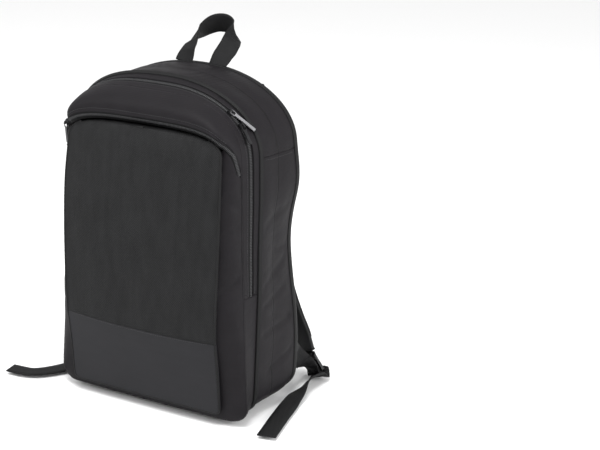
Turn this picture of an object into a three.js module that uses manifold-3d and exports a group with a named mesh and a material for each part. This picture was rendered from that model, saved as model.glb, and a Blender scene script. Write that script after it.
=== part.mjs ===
// Laptop backpack standing on its flat base, with its depth gusset let out.
// Millimetres, +Z up. The front faces -Y and the origin is the middle of the flat base.

import * as THREE from 'three';
import { mergeVertices } from 'three/addons/utils/BufferGeometryUtils.js';
import Module from 'manifold-3d';

const wasm = await Module();
wasm.setup();

// Overall sizes
const BODY_HEIGHT = 444;
const BODY_WIDTH = 292;
const FRONT_STRIP_DEPTH = 11;
const MAIN_ZIP_DEPTH = 9;
const REAR_STRIP_DEPTH = 9;
const WELT_DEPTH = 8;
const EXPANSION_DEPTH = 83;
const BASE_TUCK = 6;
const BACK_TUCK = 6;
const BASE_CORNER = 30;
const BACK_CORNER = 38;
const SEAM_CORNER = 20;
const FRONT_SEAM_FOOT = 3;
const BACK_SEAM_FOOT = 3;

// Cloth, bindings and the gap that a seam leaves between two pieces
const CLOTH = 1.8;
const PANEL_CLOTH = 2.2;
const BACK_FOAM = 4;
const BINDING_WALL = 2.5;
const SEAM_GAP = 0.3;
const WELT_RISE = 4;
const ZIP_SINK = 1;
const COIL_RISE = 0.8;
const BINDING_DEPTH = 8;
const BINDING_RISE = 1.5;

// Front pocket
const POCKET_DEPTH = 42;
const POCKET_FOOT = 14;
const POCKET_CORNER = 8;
const PANEL_SEAM_HEIGHT = 116;
const PANEL_LIP = 6;
const POCKET_ZIP_WIDTH = 10;
const GUSSET_TUCK = 3;
const GUSSET_PUFF = 5;
const BASE_PUFF = 6;
const DOME_PUFF = 15;
const ZIP_CLEARANCE = 0.6;

// Zips of the main compartment
const ZIP_END_HEIGHT = 173;
const FRONT_SHOULDER_HEIGHT = 334;
const REAR_SHOULDER_HEIGHT = 351;

// Back
const BACK_CROWN = 24;
const PAD_RISE = 5.5;
const BACK_POCKET_RISE = 8.5;
const PAD_EDGE = 1;
const BACK_ZIP_DEPTH = 5;

// Webbing, shoulder straps and handle
const WEBBING_WIDTH = 25;
const WEBBING_THICK = 1.5;
const STRAP_WIDTH = 58;
const STRAP_THICK = 11;
const STRAP_END_WIDTH = 40;
const HANDLE_WIDTH = 26;
const HANDLE_THICK = 1.8;
const BUCKLE_WIDTH = 33;
const BUCKLE_LENGTH = 28;
const BUCKLE_THICK = 3;
const BUCKLE_BAR = 3.4;
const TAB_THICK = 2.4;

// Zip sliders and pulls
const SLIDER_LENGTH = 8;
const SLIDER_WIDTH = 6;
const SLIDER_BASE = 2.6;
const BRIDGE_LENGTH = 6.8;
const BRIDGE_WIDTH = 2;
const PULL_WIRE = 1;
const PULL_RING_WIDTH = 8.6;
const PULL_RING_LENGTH = 6;
const PULL_TAB_WIDTH = 6;
const MAIN_PULL_LENGTH = 38;
const REAR_PULL_LENGTH = 26;
const POCKET_PULL_LENGTH = 28;
const BACK_PULL_LENGTH = 20;

// Places that follow from the sizes
const HALF_WIDTH = BODY_WIDTH / 2;
const BODY_DEPTH = FRONT_STRIP_DEPTH + MAIN_ZIP_DEPTH + REAR_STRIP_DEPTH + WELT_DEPTH + EXPANSION_DEPTH;
const FRONT_SEAM_Y = -(BODY_DEPTH + BASE_TUCK) / 2;
const ZIP_FRONT_Y = FRONT_SEAM_Y + FRONT_STRIP_DEPTH;
const ZIP_REAR_Y = ZIP_FRONT_Y + MAIN_ZIP_DEPTH;
const WELT_FRONT_Y = ZIP_REAR_Y + REAR_STRIP_DEPTH;
const WELT_REAR_Y = WELT_FRONT_Y + WELT_DEPTH;
const BACK_SEAM_Y = WELT_REAR_Y + EXPANSION_DEPTH;
const FRONT_FACE_Y = FRONT_SEAM_Y - SEAM_GAP / 2 - CLOTH;
const POCKET_BACK_Y = FRONT_FACE_Y - SEAM_GAP;

// Outlines seen from the front
// up is a share of BODY_HEIGHT, out a share of half the body width, and round
// is the exponent of the arch above the shoulder, 2 for an ellipse. leftRound is
// the left arch's own exponent where the soft body leans over to that side.
const POCKET_EDGE = {
  foot: POCKET_FOOT,
  corner: POCKET_CORNER,
  shoulder: FRONT_SHOULDER_HEIGHT + 14,
  top: 0.866 * BODY_HEIGHT,
  round: 3.6,
  sides: [
    { up: 0.03, out: 0.79 },
    { up: 0.26, out: 0.79 },
    { up: 0.40, out: 0.80 },
    { up: 0.53, out: 0.808 },
    { up: 0.70, out: 0.805 },
    { up: 0.79, out: 0.79 },
  ],
};
const FRONT_SEAM = {
  foot: FRONT_SEAM_FOOT,
  corner: SEAM_CORNER,
  shoulder: FRONT_SHOULDER_HEIGHT,
  top: 0.964 * BODY_HEIGHT,
  round: 2.7,
  leftRound: 3.5,
  sides: [
    { up: 0.05, out: 1.012 },
    { up: 0.24, out: 0.98 },
    { up: 0.39, out: 0.955 },
    { up: 0.51, out: 0.935 },
    { up: 0.69, out: 0.915 },
    { up: 0.76, out: 0.905 },
  ],
};
const RIDGE = {
  foot: 0,
  corner: BASE_CORNER,
  shoulder: REAR_SHOULDER_HEIGHT,
  top: BODY_HEIGHT,
  round: 2.0,
  leftRound: 2.5,
  sides: [
    { up: 0.06, out: 0.985 },
    { up: 0.23, out: 0.995 },
    { up: 0.41, out: 1.0 },
    { up: 0.58, out: 0.993 },
    { up: 0.67, out: 0.995 },
    { up: 0.79, out: 0.985 },
  ],
};
const BACK_SEAM = {
  foot: 0,
  corner: BACK_CORNER,
  shoulder: REAR_SHOULDER_HEIGHT,
  top: BODY_HEIGHT,
  round: 2.1,
  sides: [
    { up: 0.09, out: 1.02 },
    { up: 0.21, out: 1.014 },
    { up: 0.30, out: 0.998 },
    { up: 0.37, out: 0.97 },
    { up: 0.45, out: 0.942 },
    { up: 0.52, out: 0.933 },
    { up: 0.60, out: 0.962 },
    { up: 0.66, out: 1.01 },
    { up: 0.71, out: 1.03 },
    { up: 0.79, out: 1.007 },
  ],
};

// Depth of the back seam behind its mean line, back and centre line of the back
// Shares of EXPANSION_DEPTH and of BACK_CROWN at shares of BODY_HEIGHT.
const BACK_DEPTHS = [
  { up: 0.00, seam: 0.012, crown: 0.0 },
  { up: 0.09, seam: 0.040, crown: 0.25 },
  { up: 0.18, seam: 0.060, crown: 0.55 },
  { up: 0.24, seam: 0.045, crown: 0.75 },
  { up: 0.36, seam: 0.015, crown: 0.90 },
  { up: 0.51, seam: -0.005, crown: 1.0 },
  { up: 0.61, seam: -0.025, crown: 1.0 },
  { up: 0.70, seam: -0.085, crown: 0.92 },
  { up: 0.80, seam: -0.120, crown: 0.68 },
  { up: 0.90, seam: -0.120, crown: 0.32 },
  { up: 0.95, seam: -0.115, crown: 0.15 },
  { up: 1.00, seam: -0.105, crown: 0.0 },
];

// Depth of the pocket's edge and of its middle, shares of POCKET_DEPTH
const POCKET_DEPTHS = [
  { up: 0.03, edge: 0.41, crown: 0.43 },
  { up: 0.10, edge: 0.50, crown: 0.60 },
  { up: 0.18, edge: 0.61, crown: 0.79 },
  { up: 0.26, edge: 0.77, crown: 0.975 },
  { up: 0.31, edge: 0.82, crown: 1.0 },
  { up: 0.50, edge: 0.80, crown: 1.02 },
  { up: 0.67, edge: 0.74, crown: 1.0 },
  { up: 0.80, edge: 0.60, crown: 0.90 },
  { up: 0.866, edge: 0.50, crown: 0.72 },
];

// Creases across the wide gusset: height, depth of the dent and its length front to back
const GUSSET_CREASES = [
  { up: 0.145, sink: 1.6, from: 0.05, to: 0.45 },
  { up: 0.255, sink: 1.4, from: 0.50, to: 0.95 },
  { up: 0.285, sink: 1.4, from: 0.05, to: 0.40 },
  { up: 0.350, sink: 1.6, from: 0.50, to: 0.95 },
  { up: 0.490, sink: 1.4, from: 0.50, to: 0.85 },
];
const CREASE_SPREAD = 12;

// Folds of the pocket's side gusset: height, depth of the dent
const POCKET_FOLDS = [
  { up: 0.20, sink: 2.0 },
  { up: 0.43, sink: 3.4 },
  { up: 0.58, sink: 1.8 },
  { up: 0.66, sink: 1.4 },
];
const FOLD_SPREAD = 14;

// Steps along half an outline, from the foot to the crown
const CORNER_STEPS = 4;
const LOWER_STEPS = 5;
const UPPER_STEPS = 7;
const ARCH_STEPS = 9;
const CROWN_SHARE = 0.6;
const ZIP_LOW = CORNER_STEPS + LOWER_STEPS;
const SHOULDER = ZIP_LOW + UPPER_STEPS;
const CROWN = SHOULDER + ARCH_STEPS;
const LOOP = 2 * (CROWN + 1);
const mirrored = (index) => LOOP - 1 - index;

// Numbers and tables

const clamp01 = (value) => Math.min(1, Math.max(0, value));
const lerp = (a, b, share) => a + (b - a) * share;
const smooth = (value) => {
  const s = clamp01(value);
  return s * s * (3 - 2 * s);
};

/** Reads one column of a table at a height share, with smooth slopes through its rows. */
function along(rows, column, up) {
  const last = rows.length - 1;
  if (up <= rows[0].up) return rows[0][column];
  if (up >= rows[last].up) return rows[last][column];
  const k = rows.findIndex((row, index) => index > 0 && up <= row.up);
  const slope = (index) => {
    const low = rows[Math.max(0, index - 1)];
    const high = rows[Math.min(last, index + 1)];
    return (high[column] - low[column]) / (high.up - low.up);
  };
  const a = rows[k - 1];
  const b = rows[k];
  const width = b.up - a.up;
  const t = (up - a.up) / width;
  const t2 = t * t;
  const t3 = t2 * t;
  const start = (2 * t3 - 3 * t2 + 1) * a[column] + (t3 - 2 * t2 + t) * width * slope(k - 1);
  const end = (3 * t2 - 2 * t3) * b[column] + (t3 - t2) * width * slope(k);
  return start + end;
}

const backSeamY = (z) => BACK_SEAM_Y + EXPANSION_DEPTH * along(BACK_DEPTHS, 'seam', z / BODY_HEIGHT);
const backCrown = (z) => BACK_CROWN * along(BACK_DEPTHS, 'crown', z / BODY_HEIGHT);
const pocketEdgeY = (z) => FRONT_SEAM_Y - POCKET_DEPTH * along(POCKET_DEPTHS, 'edge', z / BODY_HEIGHT);
const pocketCrownY = (z) => FRONT_SEAM_Y - POCKET_DEPTH * along(POCKET_DEPTHS, 'crown', z / BODY_HEIGHT);

// Outlines

/** The same outline drawn smaller by a distance, with its foot raised by lift. */
function inset(outline, distance, lift = 0) {
  const narrow = distance / HALF_WIDTH;
  return {
    ...outline,
    foot: outline.foot + lift,
    top: outline.top - distance,
    sides: outline.sides.map((row) => ({ up: row.up, out: row.out - narrow })),
  };
}

/** Half the width of an outline at a height between its corner and its shoulder. */
function sideWidth(outline, z) {
  return HALF_WIDTH * along(outline.sides, 'out', z / BODY_HEIGHT);
}

/** Points of the right half of an outline, from the foot up, through fixed heights. */
function halfOutline(outline, stops) {
  const points = [];
  const cornerTop = outline.foot + outline.corner;
  const cornerX = sideWidth(outline, cornerTop);
  for (let k = 0; k <= CORNER_STEPS; k += 1) {
    const angle = (Math.PI / 2) * (k / CORNER_STEPS);
    points.push({
      x: cornerX - outline.corner * (1 - Math.sin(angle)),
      z: cornerTop - outline.corner * Math.cos(angle),
    });
  }
  let from = cornerTop;
  for (const stop of stops) {
    for (let k = 1; k <= stop.steps; k += 1) {
      const z = lerp(from, stop.z, k / stop.steps);
      points.push({ x: sideWidth(outline, z), z });
    }
    from = stop.z;
  }
  const shoulderX = sideWidth(outline, outline.shoulder);
  const rise = outline.top - outline.shoulder;
  for (let k = 1; k <= ARCH_STEPS; k += 1) {
    const angle = (Math.PI / 2) * (k / (ARCH_STEPS + CROWN_SHARE));
    points.push({
      x: shoulderX * Math.cos(angle) ** (2 / outline.round),
      z: outline.shoulder + rise * Math.sin(angle) ** (2 / outline.round),
    });
  }
  return points;
}

/** A whole outline as a ring of points: up the right side, over the top, down the left. */
function ringOf(outline) {
  const stops = [
    { z: ZIP_END_HEIGHT, steps: LOWER_STEPS },
    { z: outline.shoulder, steps: UPPER_STEPS },
  ];
  const half = halfOutline(outline, stops);
  const other = halfOutline({ ...outline, round: outline.leftRound ?? outline.round }, stops);
  const left = other.map((point) => ({ x: -point.x, z: point.z })).reverse();
  return [...half, ...left];
}

/** Outward direction in the outline's own plane at one point of a ring. */
function outward(ring, index) {
  const before = ring[(index + ring.length - 1) % ring.length];
  const after = ring[(index + 1) % ring.length];
  const dx = after.x - before.x;
  const dz = after.z - before.z;
  const length = Math.hypot(dx, dz);
  return { x: dz / length, z: -dx / length };
}

/** A ring between two rings, pushed outward by a puff that fades near the floor. */
function ringBetween(a, b, share, puff = () => 0) {
  const middle = a.map((point, index) => ({
    x: lerp(point.x, b[index].x, share),
    z: lerp(point.z, b[index].z, share),
  }));
  return middle.map((point, index) => {
    const normal = outward(middle, index);
    const push = puff(point) * smooth((point.z - CLOTH) / BASE_CORNER);
    return { x: point.x + normal.x * push, z: point.z + normal.z * push };
  });
}

const place = (ring, depth) => ring.map((point) => (
  new THREE.Vector3(point.x, typeof depth === 'number' ? depth : depth(point.z), point.z)
));

// Solids

/** Turns points and faces into a closed mesh geometry whose faces point out. */
function closedGeometry(points, faces) {
  let volume = 0;
  const cross = new THREE.Vector3();
  for (const [a, b, c] of faces) {
    volume += points[a].dot(cross.crossVectors(points[b], points[c]));
  }
  const turned = volume < 0 ? faces.map(([a, b, c]) => [a, c, b]) : faces;
  const geometry = new THREE.BufferGeometry();
  geometry.setAttribute('position', new THREE.Float32BufferAttribute(points.flatMap((p) => p.toArray()), 3));
  geometry.setIndex(turned.flat());
  geometry.computeVertexNormals();
  return geometry;
}

/** A closed solid between two grids of points. A ring grid's columns meet end to end. */
function solidBetween(outer, inner, { ring = false, fill = false } = {}) {
  const rows = outer.length;
  const columns = outer[0].length;
  const points = [...outer.flat(), ...inner.flat()];
  const layer = rows * columns;
  const at = (side, row, column) => side * layer + row * columns + (column % columns);
  const faces = [];
  const quad = (a, b, c, d) => faces.push([a, b, c], [a, c, d]);
  const acrossEnd = ring ? columns : columns - 1;
  for (let r = 0; r < rows - 1; r += 1) {
    for (let c = 0; c < acrossEnd; c += 1) {
      quad(at(0, r, c), at(0, r, c + 1), at(0, r + 1, c + 1), at(0, r + 1, c));
      quad(at(1, r, c), at(1, r + 1, c), at(1, r + 1, c + 1), at(1, r, c + 1));
    }
  }
  const rim = (row, c) => [at(0, row, c), at(1, row, c), at(1, row, c + 1), at(0, row, c + 1)];
  for (let c = 0; c < acrossEnd; c += 1) {
    quad(...rim(0, c));
    if (!fill) quad(...rim(rows - 1, c).reverse());
  }
  if (!ring) {
    for (let r = 0; r < rows - 1; r += 1) {
      quad(at(0, r, 0), at(0, r + 1, 0), at(1, r + 1, 0), at(1, r, 0));
      const end = columns - 1;
      quad(at(0, r, end), at(1, r, end), at(1, r + 1, end), at(0, r + 1, end));
    }
  }
  if (fill) {
    const last = rows - 1;
    for (let c = 0; c < columns / 2 - 1; c += 1) {
      const other = columns - 1 - c;
      quad(at(0, last, c), at(0, last, c + 1), at(0, last, other - 1), at(0, last, other));
      quad(at(1, last, c), at(1, last, other), at(1, last, other - 1), at(1, last, c + 1));
    }
  }
  return closedGeometry(points, faces);
}

/** Moves the two end columns of a grid inward so that a seam's gap stays open. */
function trimEnds(grid, distance) {
  return grid.map((row) => {
    const end = row.length - 1;
    const first = row[0].clone().lerp(row[1], distance / row[0].distanceTo(row[1]));
    const last = row[end].clone().lerp(row[end - 1], distance / row[end].distanceTo(row[end - 1]));
    return [first, ...row.slice(1, end), last];
  });
}

const indexSpan = (from, to) => {
  const count = ((to - from + LOOP) % LOOP) + 1;
  return Array.from({ length: count }, (_, k) => (from + k) % LOOP);
};

/** A band of cloth through placed rings, all the way round or from one index to another. */
function band(rings, wall, from = null, to = null) {
  const whole = from === null;
  const indices = whole ? Array.from({ length: LOOP }, (_, k) => k) : indexSpan(from, to);
  const outer = rings.map((ring) => indices.map((index) => ring[index].clone()));
  const inner = rings.map((ring) => indices.map((index) => {
    const normal = outward(ring, index);
    return ring[index].clone().add(new THREE.Vector3(-normal.x * wall, 0, -normal.z * wall));
  }));
  if (whole) return solidBetween(outer, inner, { ring: true });
  return solidBetween(trimEnds(outer, SEAM_GAP / 2), trimEnds(inner, SEAM_GAP / 2));
}

/** Outward directions of a grid, turned so that they follow the hint at each point. */
function gridNormals(grid, hint, ring = false) {
  const rows = grid.length;
  const columns = grid[0].length;
  return grid.map((row, r) => row.map((point, c) => {
    const left = ring ? (c + columns - 1) % columns : Math.max(0, c - 1);
    const right = ring ? (c + 1) % columns : Math.min(columns - 1, c + 1);
    const across = grid[r][right].clone().sub(grid[r][left]);
    const up = grid[Math.min(rows - 1, r + 1)][c].clone().sub(grid[Math.max(0, r - 1)][c]);
    const normal = across.cross(up).normalize();
    return normal.dot(hint(point)) < 0 ? normal.negate() : normal;
  }));
}

/** A sweep of one section along a path, closed by flat ends. */
function sweep(sections) {
  const count = sections[0].length;
  const points = sections.flat();
  const faces = [];
  for (let s = 0; s < sections.length - 1; s += 1) {
    for (let k = 0; k < count; k += 1) {
      const a = s * count + k;
      const b = s * count + ((k + 1) % count);
      faces.push([a, b, b + count], [a, b + count, a + count]);
    }
  }
  const end = (sections.length - 1) * count;
  for (let k = 1; k < count - 1; k += 1) {
    faces.push([0, k + 1, k], [end, end + k, end + k + 1]);
  }
  return closedGeometry(points, faces);
}

/**
 * A flat ribbon through route rows with a place and a width direction each.
 * profile(share) gives the half width and half thickness along the ribbon.
 */
function ribbon(rows, steps, profile, rounded = false) {
  const path = new THREE.CatmullRomCurve3(rows.map((row) => new THREE.Vector3(...row.at)), false, 'centripetal');
  const sections = [];
  for (let k = 0; k <= steps; k += 1) {
    const share = k / steps;
    const spot = share * (rows.length - 1);
    const low = Math.min(rows.length - 2, Math.floor(spot));
    const across = new THREE.Vector3(...rows[low].wide)
      .lerp(new THREE.Vector3(...rows[low + 1].wide), smooth(spot - low));
    const point = path.getPoint(share);
    const tangent = path.getTangent(share);
    across.addScaledVector(tangent, -across.dot(tangent)).normalize();
    const normal = new THREE.Vector3().crossVectors(tangent, across);
    const { half, thick } = profile(share);
    const corner = (u, n) => point.clone().addScaledVector(across, u).addScaledVector(normal, n);
    if (rounded) {
      const soft = Math.min(half, thick);
      const shoulder = half - soft * 0.7;
      sections.push([
        corner(-shoulder, -thick), corner(shoulder, -thick), corner(half, -thick * 0.4),
        corner(half, thick * 0.4), corner(shoulder, thick), corner(-shoulder, thick),
        corner(-half, thick * 0.4), corner(-half, -thick * 0.4),
      ]);
    } else {
      sections.push([corner(-half, -thick), corner(half, -thick), corner(half, thick), corner(-half, thick)]);
    }
  }
  return sweep(sections);
}

/** A flat shape cut from a sheet and stood in its place: along, across and out directions. */
function plate(shape, thick, origin, alongAxis, outAxis) {
  const geometry = new THREE.ExtrudeGeometry(shape, { depth: thick, bevelEnabled: false, curveSegments: 4 });
  const out = outAxis.clone().normalize();
  const along3 = alongAxis.clone().addScaledVector(out, -alongAxis.dot(out)).normalize();
  const across = new THREE.Vector3().crossVectors(out, along3);
  geometry.applyMatrix4(new THREE.Matrix4().makeBasis(along3, across, out).setPosition(origin));
  return geometry;
}

const polygon = (corners) => new THREE.Shape(corners.map(([a, b]) => new THREE.Vector2(a, b)));
const rectangle = (a0, a1, b0, b1) => [[a0, b0], [a1, b0], [a1, b1], [a0, b1]];

/** One body made of several closed geometries. */
function joined(geometries) {
  const solids = geometries.map((geometry) => {
    const bare = geometry.clone();
    bare.deleteAttribute('normal');
    bare.deleteAttribute('uv');
    const merged = mergeVertices(bare);
    return new wasm.Manifold(new wasm.Mesh({
      numProp: 3,
      vertProperties: new Float32Array(merged.attributes.position.array),
      triVerts: new Uint32Array(merged.index.array),
    }));
  });
  const mesh = solids.reduce((sum, solid) => sum.add(solid)).getMesh();
  const geometry = new THREE.BufferGeometry();
  geometry.setAttribute('position', new THREE.Float32BufferAttribute(mesh.vertProperties, 3));
  geometry.setIndex(Array.from(mesh.triVerts));
  geometry.computeVertexNormals();
  return geometry;
}

// Materials
const finish = (color, roughness, metalness = 0) => new THREE.MeshStandardMaterial({ color, roughness, metalness });
const NYLON = finish(0x2c2a2f, 0.55);
const BALLISTIC = finish(0x2b2b2d, 0.6);
const COATED = finish(0x35353a, 0.5);
const WEBBING = finish(0x222224, 0.75);
const BINDING = finish(0x18181a, 0.6);
const ZIP_TAPE = finish(0x1f1f21, 0.65);
const PADDING = finish(0x38383c, 0.7);
const BLACK_METAL = finish(0x2a2a2c, 0.35, 0.8);
const PULL_METAL = finish(0x9a9aa0, 0.3, 0.9);
const PLASTIC = finish(0x141416, 0.4);

const bag = new THREE.Group();
const add = (name, geometry, material) => {
  const mesh = new THREE.Mesh(geometry, material);
  mesh.name = name;
  bag.add(mesh);
};

// Rings shared by the bands
const frontRing = ringOf(FRONT_SEAM);
const frontBaseRing = ringOf({ ...FRONT_SEAM, foot: 0 });
const ridgeRing = ringOf(RIDGE);
const ridgeFootRing = ringOf(inset(RIDGE, WELT_RISE));
const backRing = ringOf(BACK_SEAM);
const backFootRing = ringOf({ ...BACK_SEAM, foot: BACK_SEAM_FOOT });
const WELT_SHARE = WELT_FRONT_Y - FRONT_SEAM_Y;
const stripRing = (y) => ringBetween(frontBaseRing, ridgeFootRing, (y - FRONT_SEAM_Y) / WELT_SHARE);
const tuckY = FRONT_SEAM_Y + BASE_TUCK;
const tuckRing = stripRing(tuckY);
const halfGap = SEAM_GAP / 2;

// Front gusset and main zip
add('gusset_front_strip', band([
  place(frontRing, FRONT_SEAM_Y + halfGap),
  place(tuckRing, tuckY),
  place(stripRing(ZIP_FRONT_Y), ZIP_FRONT_Y - halfGap),
], CLOTH, ZIP_LOW, mirrored(ZIP_LOW)), NYLON);

const coilY = (ZIP_FRONT_Y + ZIP_REAR_Y) / 2;
const zipRing = (y, rise) => ringBetween(stripRing(y), stripRing(y), 0, () => rise);
add('main_zip', band([
  place(zipRing(ZIP_FRONT_Y, -ZIP_SINK), ZIP_FRONT_Y + halfGap),
  place(zipRing(coilY, COIL_RISE - ZIP_SINK), coilY),
  place(zipRing(ZIP_REAR_Y, -ZIP_SINK), ZIP_REAR_Y - halfGap),
], CLOTH, ZIP_LOW, mirrored(ZIP_LOW)), ZIP_TAPE);

add('gusset_rear_strip', band([
  place(stripRing(ZIP_REAR_Y), ZIP_REAR_Y + halfGap),
  place(stripRing(WELT_FRONT_Y), WELT_FRONT_Y - halfGap),
], CLOTH, ZIP_LOW, mirrored(ZIP_LOW)), NYLON);

add('gusset_base', band([
  place(frontRing, FRONT_SEAM_Y + halfGap),
  place(tuckRing, tuckY),
  place(stripRing(coilY), coilY),
  place(stripRing(WELT_FRONT_Y), WELT_FRONT_Y - halfGap),
], CLOTH, mirrored(ZIP_LOW), ZIP_LOW), NYLON);

// Expansion welt and the wide gusset
const weltY = (WELT_FRONT_Y + WELT_REAR_Y) / 2;
add('expansion_welt', band([
  place(ringBetween(ridgeFootRing, ridgeRing, 0.4), WELT_FRONT_Y + halfGap),
  place(ridgeRing, weltY),
  place(ringBetween(ridgeFootRing, ridgeRing, 0.4), WELT_REAR_Y - halfGap),
], BINDING_WALL, null), BINDING);

const bindingFront = (z) => backSeamY(z) - BINDING_DEPTH / 2;
const wideY = (share, edge) => (z) => lerp(WELT_REAR_Y + halfGap, bindingFront(z) - edge, share);
const creaseAt = (share) => (point) => {
  const dents = GUSSET_CREASES.map((crease) => {
    const inside = smooth((share - crease.from) * 8 + 0.5) * smooth((crease.to - share) * 8 + 0.5);
    const reach = (point.z - crease.up * BODY_HEIGHT) / CREASE_SPREAD;
    return crease.sink * inside * Math.exp(-reach * reach);
  });
  return dents.reduce((sum, dent) => sum + dent, 0);
};
const GUSSET_PROFILE = [
  { share: 0.00, puff: 0.0 },
  { share: 0.20, puff: 1.6 },
  { share: 0.42, puff: 0.4 },
  { share: 0.70, puff: 1.8 },
  { share: 0.93, puff: 0.6 },
];
const wideRings = GUSSET_PROFILE.map(({ share, puff }) => (
  place(ringBetween(ridgeFootRing, backRing, share, (p) => puff - creaseAt(share)(p)), wideY(share, BACK_TUCK * 0))
));
wideRings.push(place(backFootRing, (z) => bindingFront(z) - SEAM_GAP));
add('expansion_gusset_top', band(wideRings, CLOTH, SHOULDER, mirrored(SHOULDER)), NYLON);
add('expansion_gusset_lower', band(wideRings, CLOTH, mirrored(SHOULDER), SHOULDER), NYLON);

// Binding of the back seam
const bindingRing = ringBetween(backFootRing, backFootRing, 0, () => BINDING_RISE);
const bindingEdge = ringBetween(backFootRing, backFootRing, 0, () => BINDING_RISE / 2);
add('back_piping', band([
  place(bindingEdge, bindingFront),
  place(bindingRing, backSeamY),
  place(bindingEdge, (z) => backSeamY(z) + BINDING_DEPTH / 2),
], BINDING_WALL, null), BINDING);

// Front panel: a flat sheet whose upper part domes forward over the pocket
const DIAGONAL = 3;
const DIAGONAL_TOP = SHOULDER + DIAGONAL;
const pocketRing = ringOf(POCKET_EDGE);
const tuckedPocketRing = ringOf(inset(POCKET_EDGE, GUSSET_TUCK, GUSSET_TUCK));
const zipRise = CLOTH + ZIP_CLEARANCE;
const PARTITION_SPREAD = 5.4;
const PARTITION_LIFT = 7.2;
const clearPocketRing = ringOf(inset(POCKET_EDGE, -zipRise, -zipRise));
const pocketBackRing = ringOf(inset(FRONT_SEAM, SEAM_GAP, SEAM_GAP));
const halfIndex = (index) => Math.min(index, mirrored(index));

/** Point of the pocket's outer surface: share 0 at the pocket's edge, 1 at the front seam. */
function pocketSurface(index, share) {
  const half = halfIndex(index);
  const onArch = half >= DIAGONAL_TOP;
  const edge = (onArch ? clearPocketRing : tuckedPocketRing)[index];
  const seam = pocketBackRing[index];
  const edgeY = pocketEdgeY(pocketRing[index].z) + (onArch ? ZIP_CLEARANCE : PANEL_LIP + SEAM_GAP);
  const normal = outward(pocketBackRing, index);
  const dome = smooth((half - SHOULDER) / (DIAGONAL + 2));
  const base = 1 - smooth(half / CORNER_STEPS);
  const swell = Math.sin(Math.PI * share) ** 0.8;
  const z = lerp(edge.z, seam.z, share);
  const folds = POCKET_FOLDS.reduce((sum, fold) => {
    const reach = (z - fold.up * BODY_HEIGHT) / FOLD_SPREAD;
    return sum + fold.sink * Math.exp(-reach * reach);
  }, 0);
  const out = swell * (lerp(GUSSET_PUFF, BASE_PUFF, base) - folds * (1 - dome));
  const forward = swell * lerp(2, DOME_PUFF, dome);
  return new THREE.Vector3(
    lerp(edge.x, seam.x, share) + normal.x * out,
    lerp(edgeY, POCKET_BACK_Y, share) - forward,
    z + normal.z * out,
  );
}

/** Where the pocket's zip lies on that surface: its lower and upper edge as shares. */
function zipShares(index) {
  const half = halfIndex(index);
  const nearest = Math.round(index);
  const length = pocketSurface(nearest, 0).distanceTo(pocketSurface(nearest, 0.5)) * 2;
  const wide = POCKET_ZIP_WIDTH / length;
  const low = (1 - wide) * (1 - clamp01((half - SHOULDER) / DIAGONAL));
  return { low, high: low + wide, gap: SEAM_GAP / length };
}

const panelRings = [0, 0.4, 0.75, 1].map((step) => frontRing.map((point, index) => {
  const half = halfIndex(index);
  if (half <= SHOULDER) {
    const normal = outward(frontRing, index);
    const inward = CLOTH * 2 * step;
    return new THREE.Vector3(point.x - normal.x * inward, FRONT_FACE_Y, point.z - normal.z * inward);
  }
  if (step === 0) return new THREE.Vector3(point.x, FRONT_FACE_Y, point.z);
  const { high, gap } = zipShares(index);
  return pocketSurface(index, lerp(1, high + gap, step));
}));
const partitionRing = ringOf(inset(POCKET_EDGE, -PARTITION_SPREAD, PARTITION_LIFT));
panelRings.push(place(partitionRing, FRONT_FACE_Y));
const frontHint = (point) => new THREE.Vector3(0, -1, point.z > FRONT_SHOULDER_HEIGHT ? 0.8 : 0);
const panelNormals = gridNormals(panelRings, frontHint, true);
const panelInner = panelRings.map((ring, r) => ring.map((point, index) => {
  const flat = r === 0 || r === panelRings.length - 1 || halfIndex(index) <= SHOULDER;
  if (flat) return point.clone().add(new THREE.Vector3(0, CLOTH, 0));
  const moved = point.clone().addScaledVector(panelNormals[r][index], -CLOTH);
  moved.y = Math.min(moved.y, FRONT_FACE_Y + CLOTH);
  return moved;
}));
add('front_panel', solidBetween(panelRings, panelInner, { ring: true, fill: true }), NYLON);

// Inner edges of the strips are drawn in so that they keep clear where the cloth turns
const EDGE_DRAWN = 2;

/** A strip of cloth on the pocket's surface between two shares at each index. */
function pocketStrip(indices, sharesAt, rows, rise = () => 0, raised = false) {
  const grid = rows.map((row) => indices.map((index) => {
    const low = Math.floor(index);
    const part = index - low;
    const { from, to } = sharesAt(index);
    const spot = pocketSurface(low, lerp(from, to, row));
    if (part > 0) spot.lerp(pocketSurface(low + 1, lerp(from, to, row)), part);
    if (!raised && halfIndex(index) >= SHOULDER) {
      spot.y = Math.max(spot.y, pocketEdgeY(spot.z) + PANEL_LIP + SEAM_GAP);
    }
    return spot;
  }));
  const hint = (point) => new THREE.Vector3(point.x, -BODY_HEIGHT / 2, point.z - BODY_HEIGHT / 2);
  const normals = gridNormals(grid, hint);
  const limit = (point) => {
    point.y = Math.min(point.y, POCKET_BACK_Y);
    return point;
  };
  const outer = grid.map((row, r) => row.map((point, c) => (
    limit(point.clone().addScaledVector(normals[r][c], rise(rows[r])))
  )));
  const inner = grid.map((row, r) => row.map((point, c) => {
    const moved = point.clone().addScaledVector(normals[r][c], -CLOTH);
    const onArch = halfIndex(indices[c]) >= SHOULDER;
    if (rows[r] === 0 && !raised) moved.y = Math.max(moved.y, point.y);
    const next = rows[r] === 1 ? grid[r - 1][c] : grid[r + 1][c];
    const drawn = onArch && (rows[r] === 1 || (rows[r] === 0 && raised));
    if (drawn) moved.addScaledVector(next.clone().sub(point).normalize(), EDGE_DRAWN);
    return limit(moved);
  }));
  return solidBetween(outer, inner);
}

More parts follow.
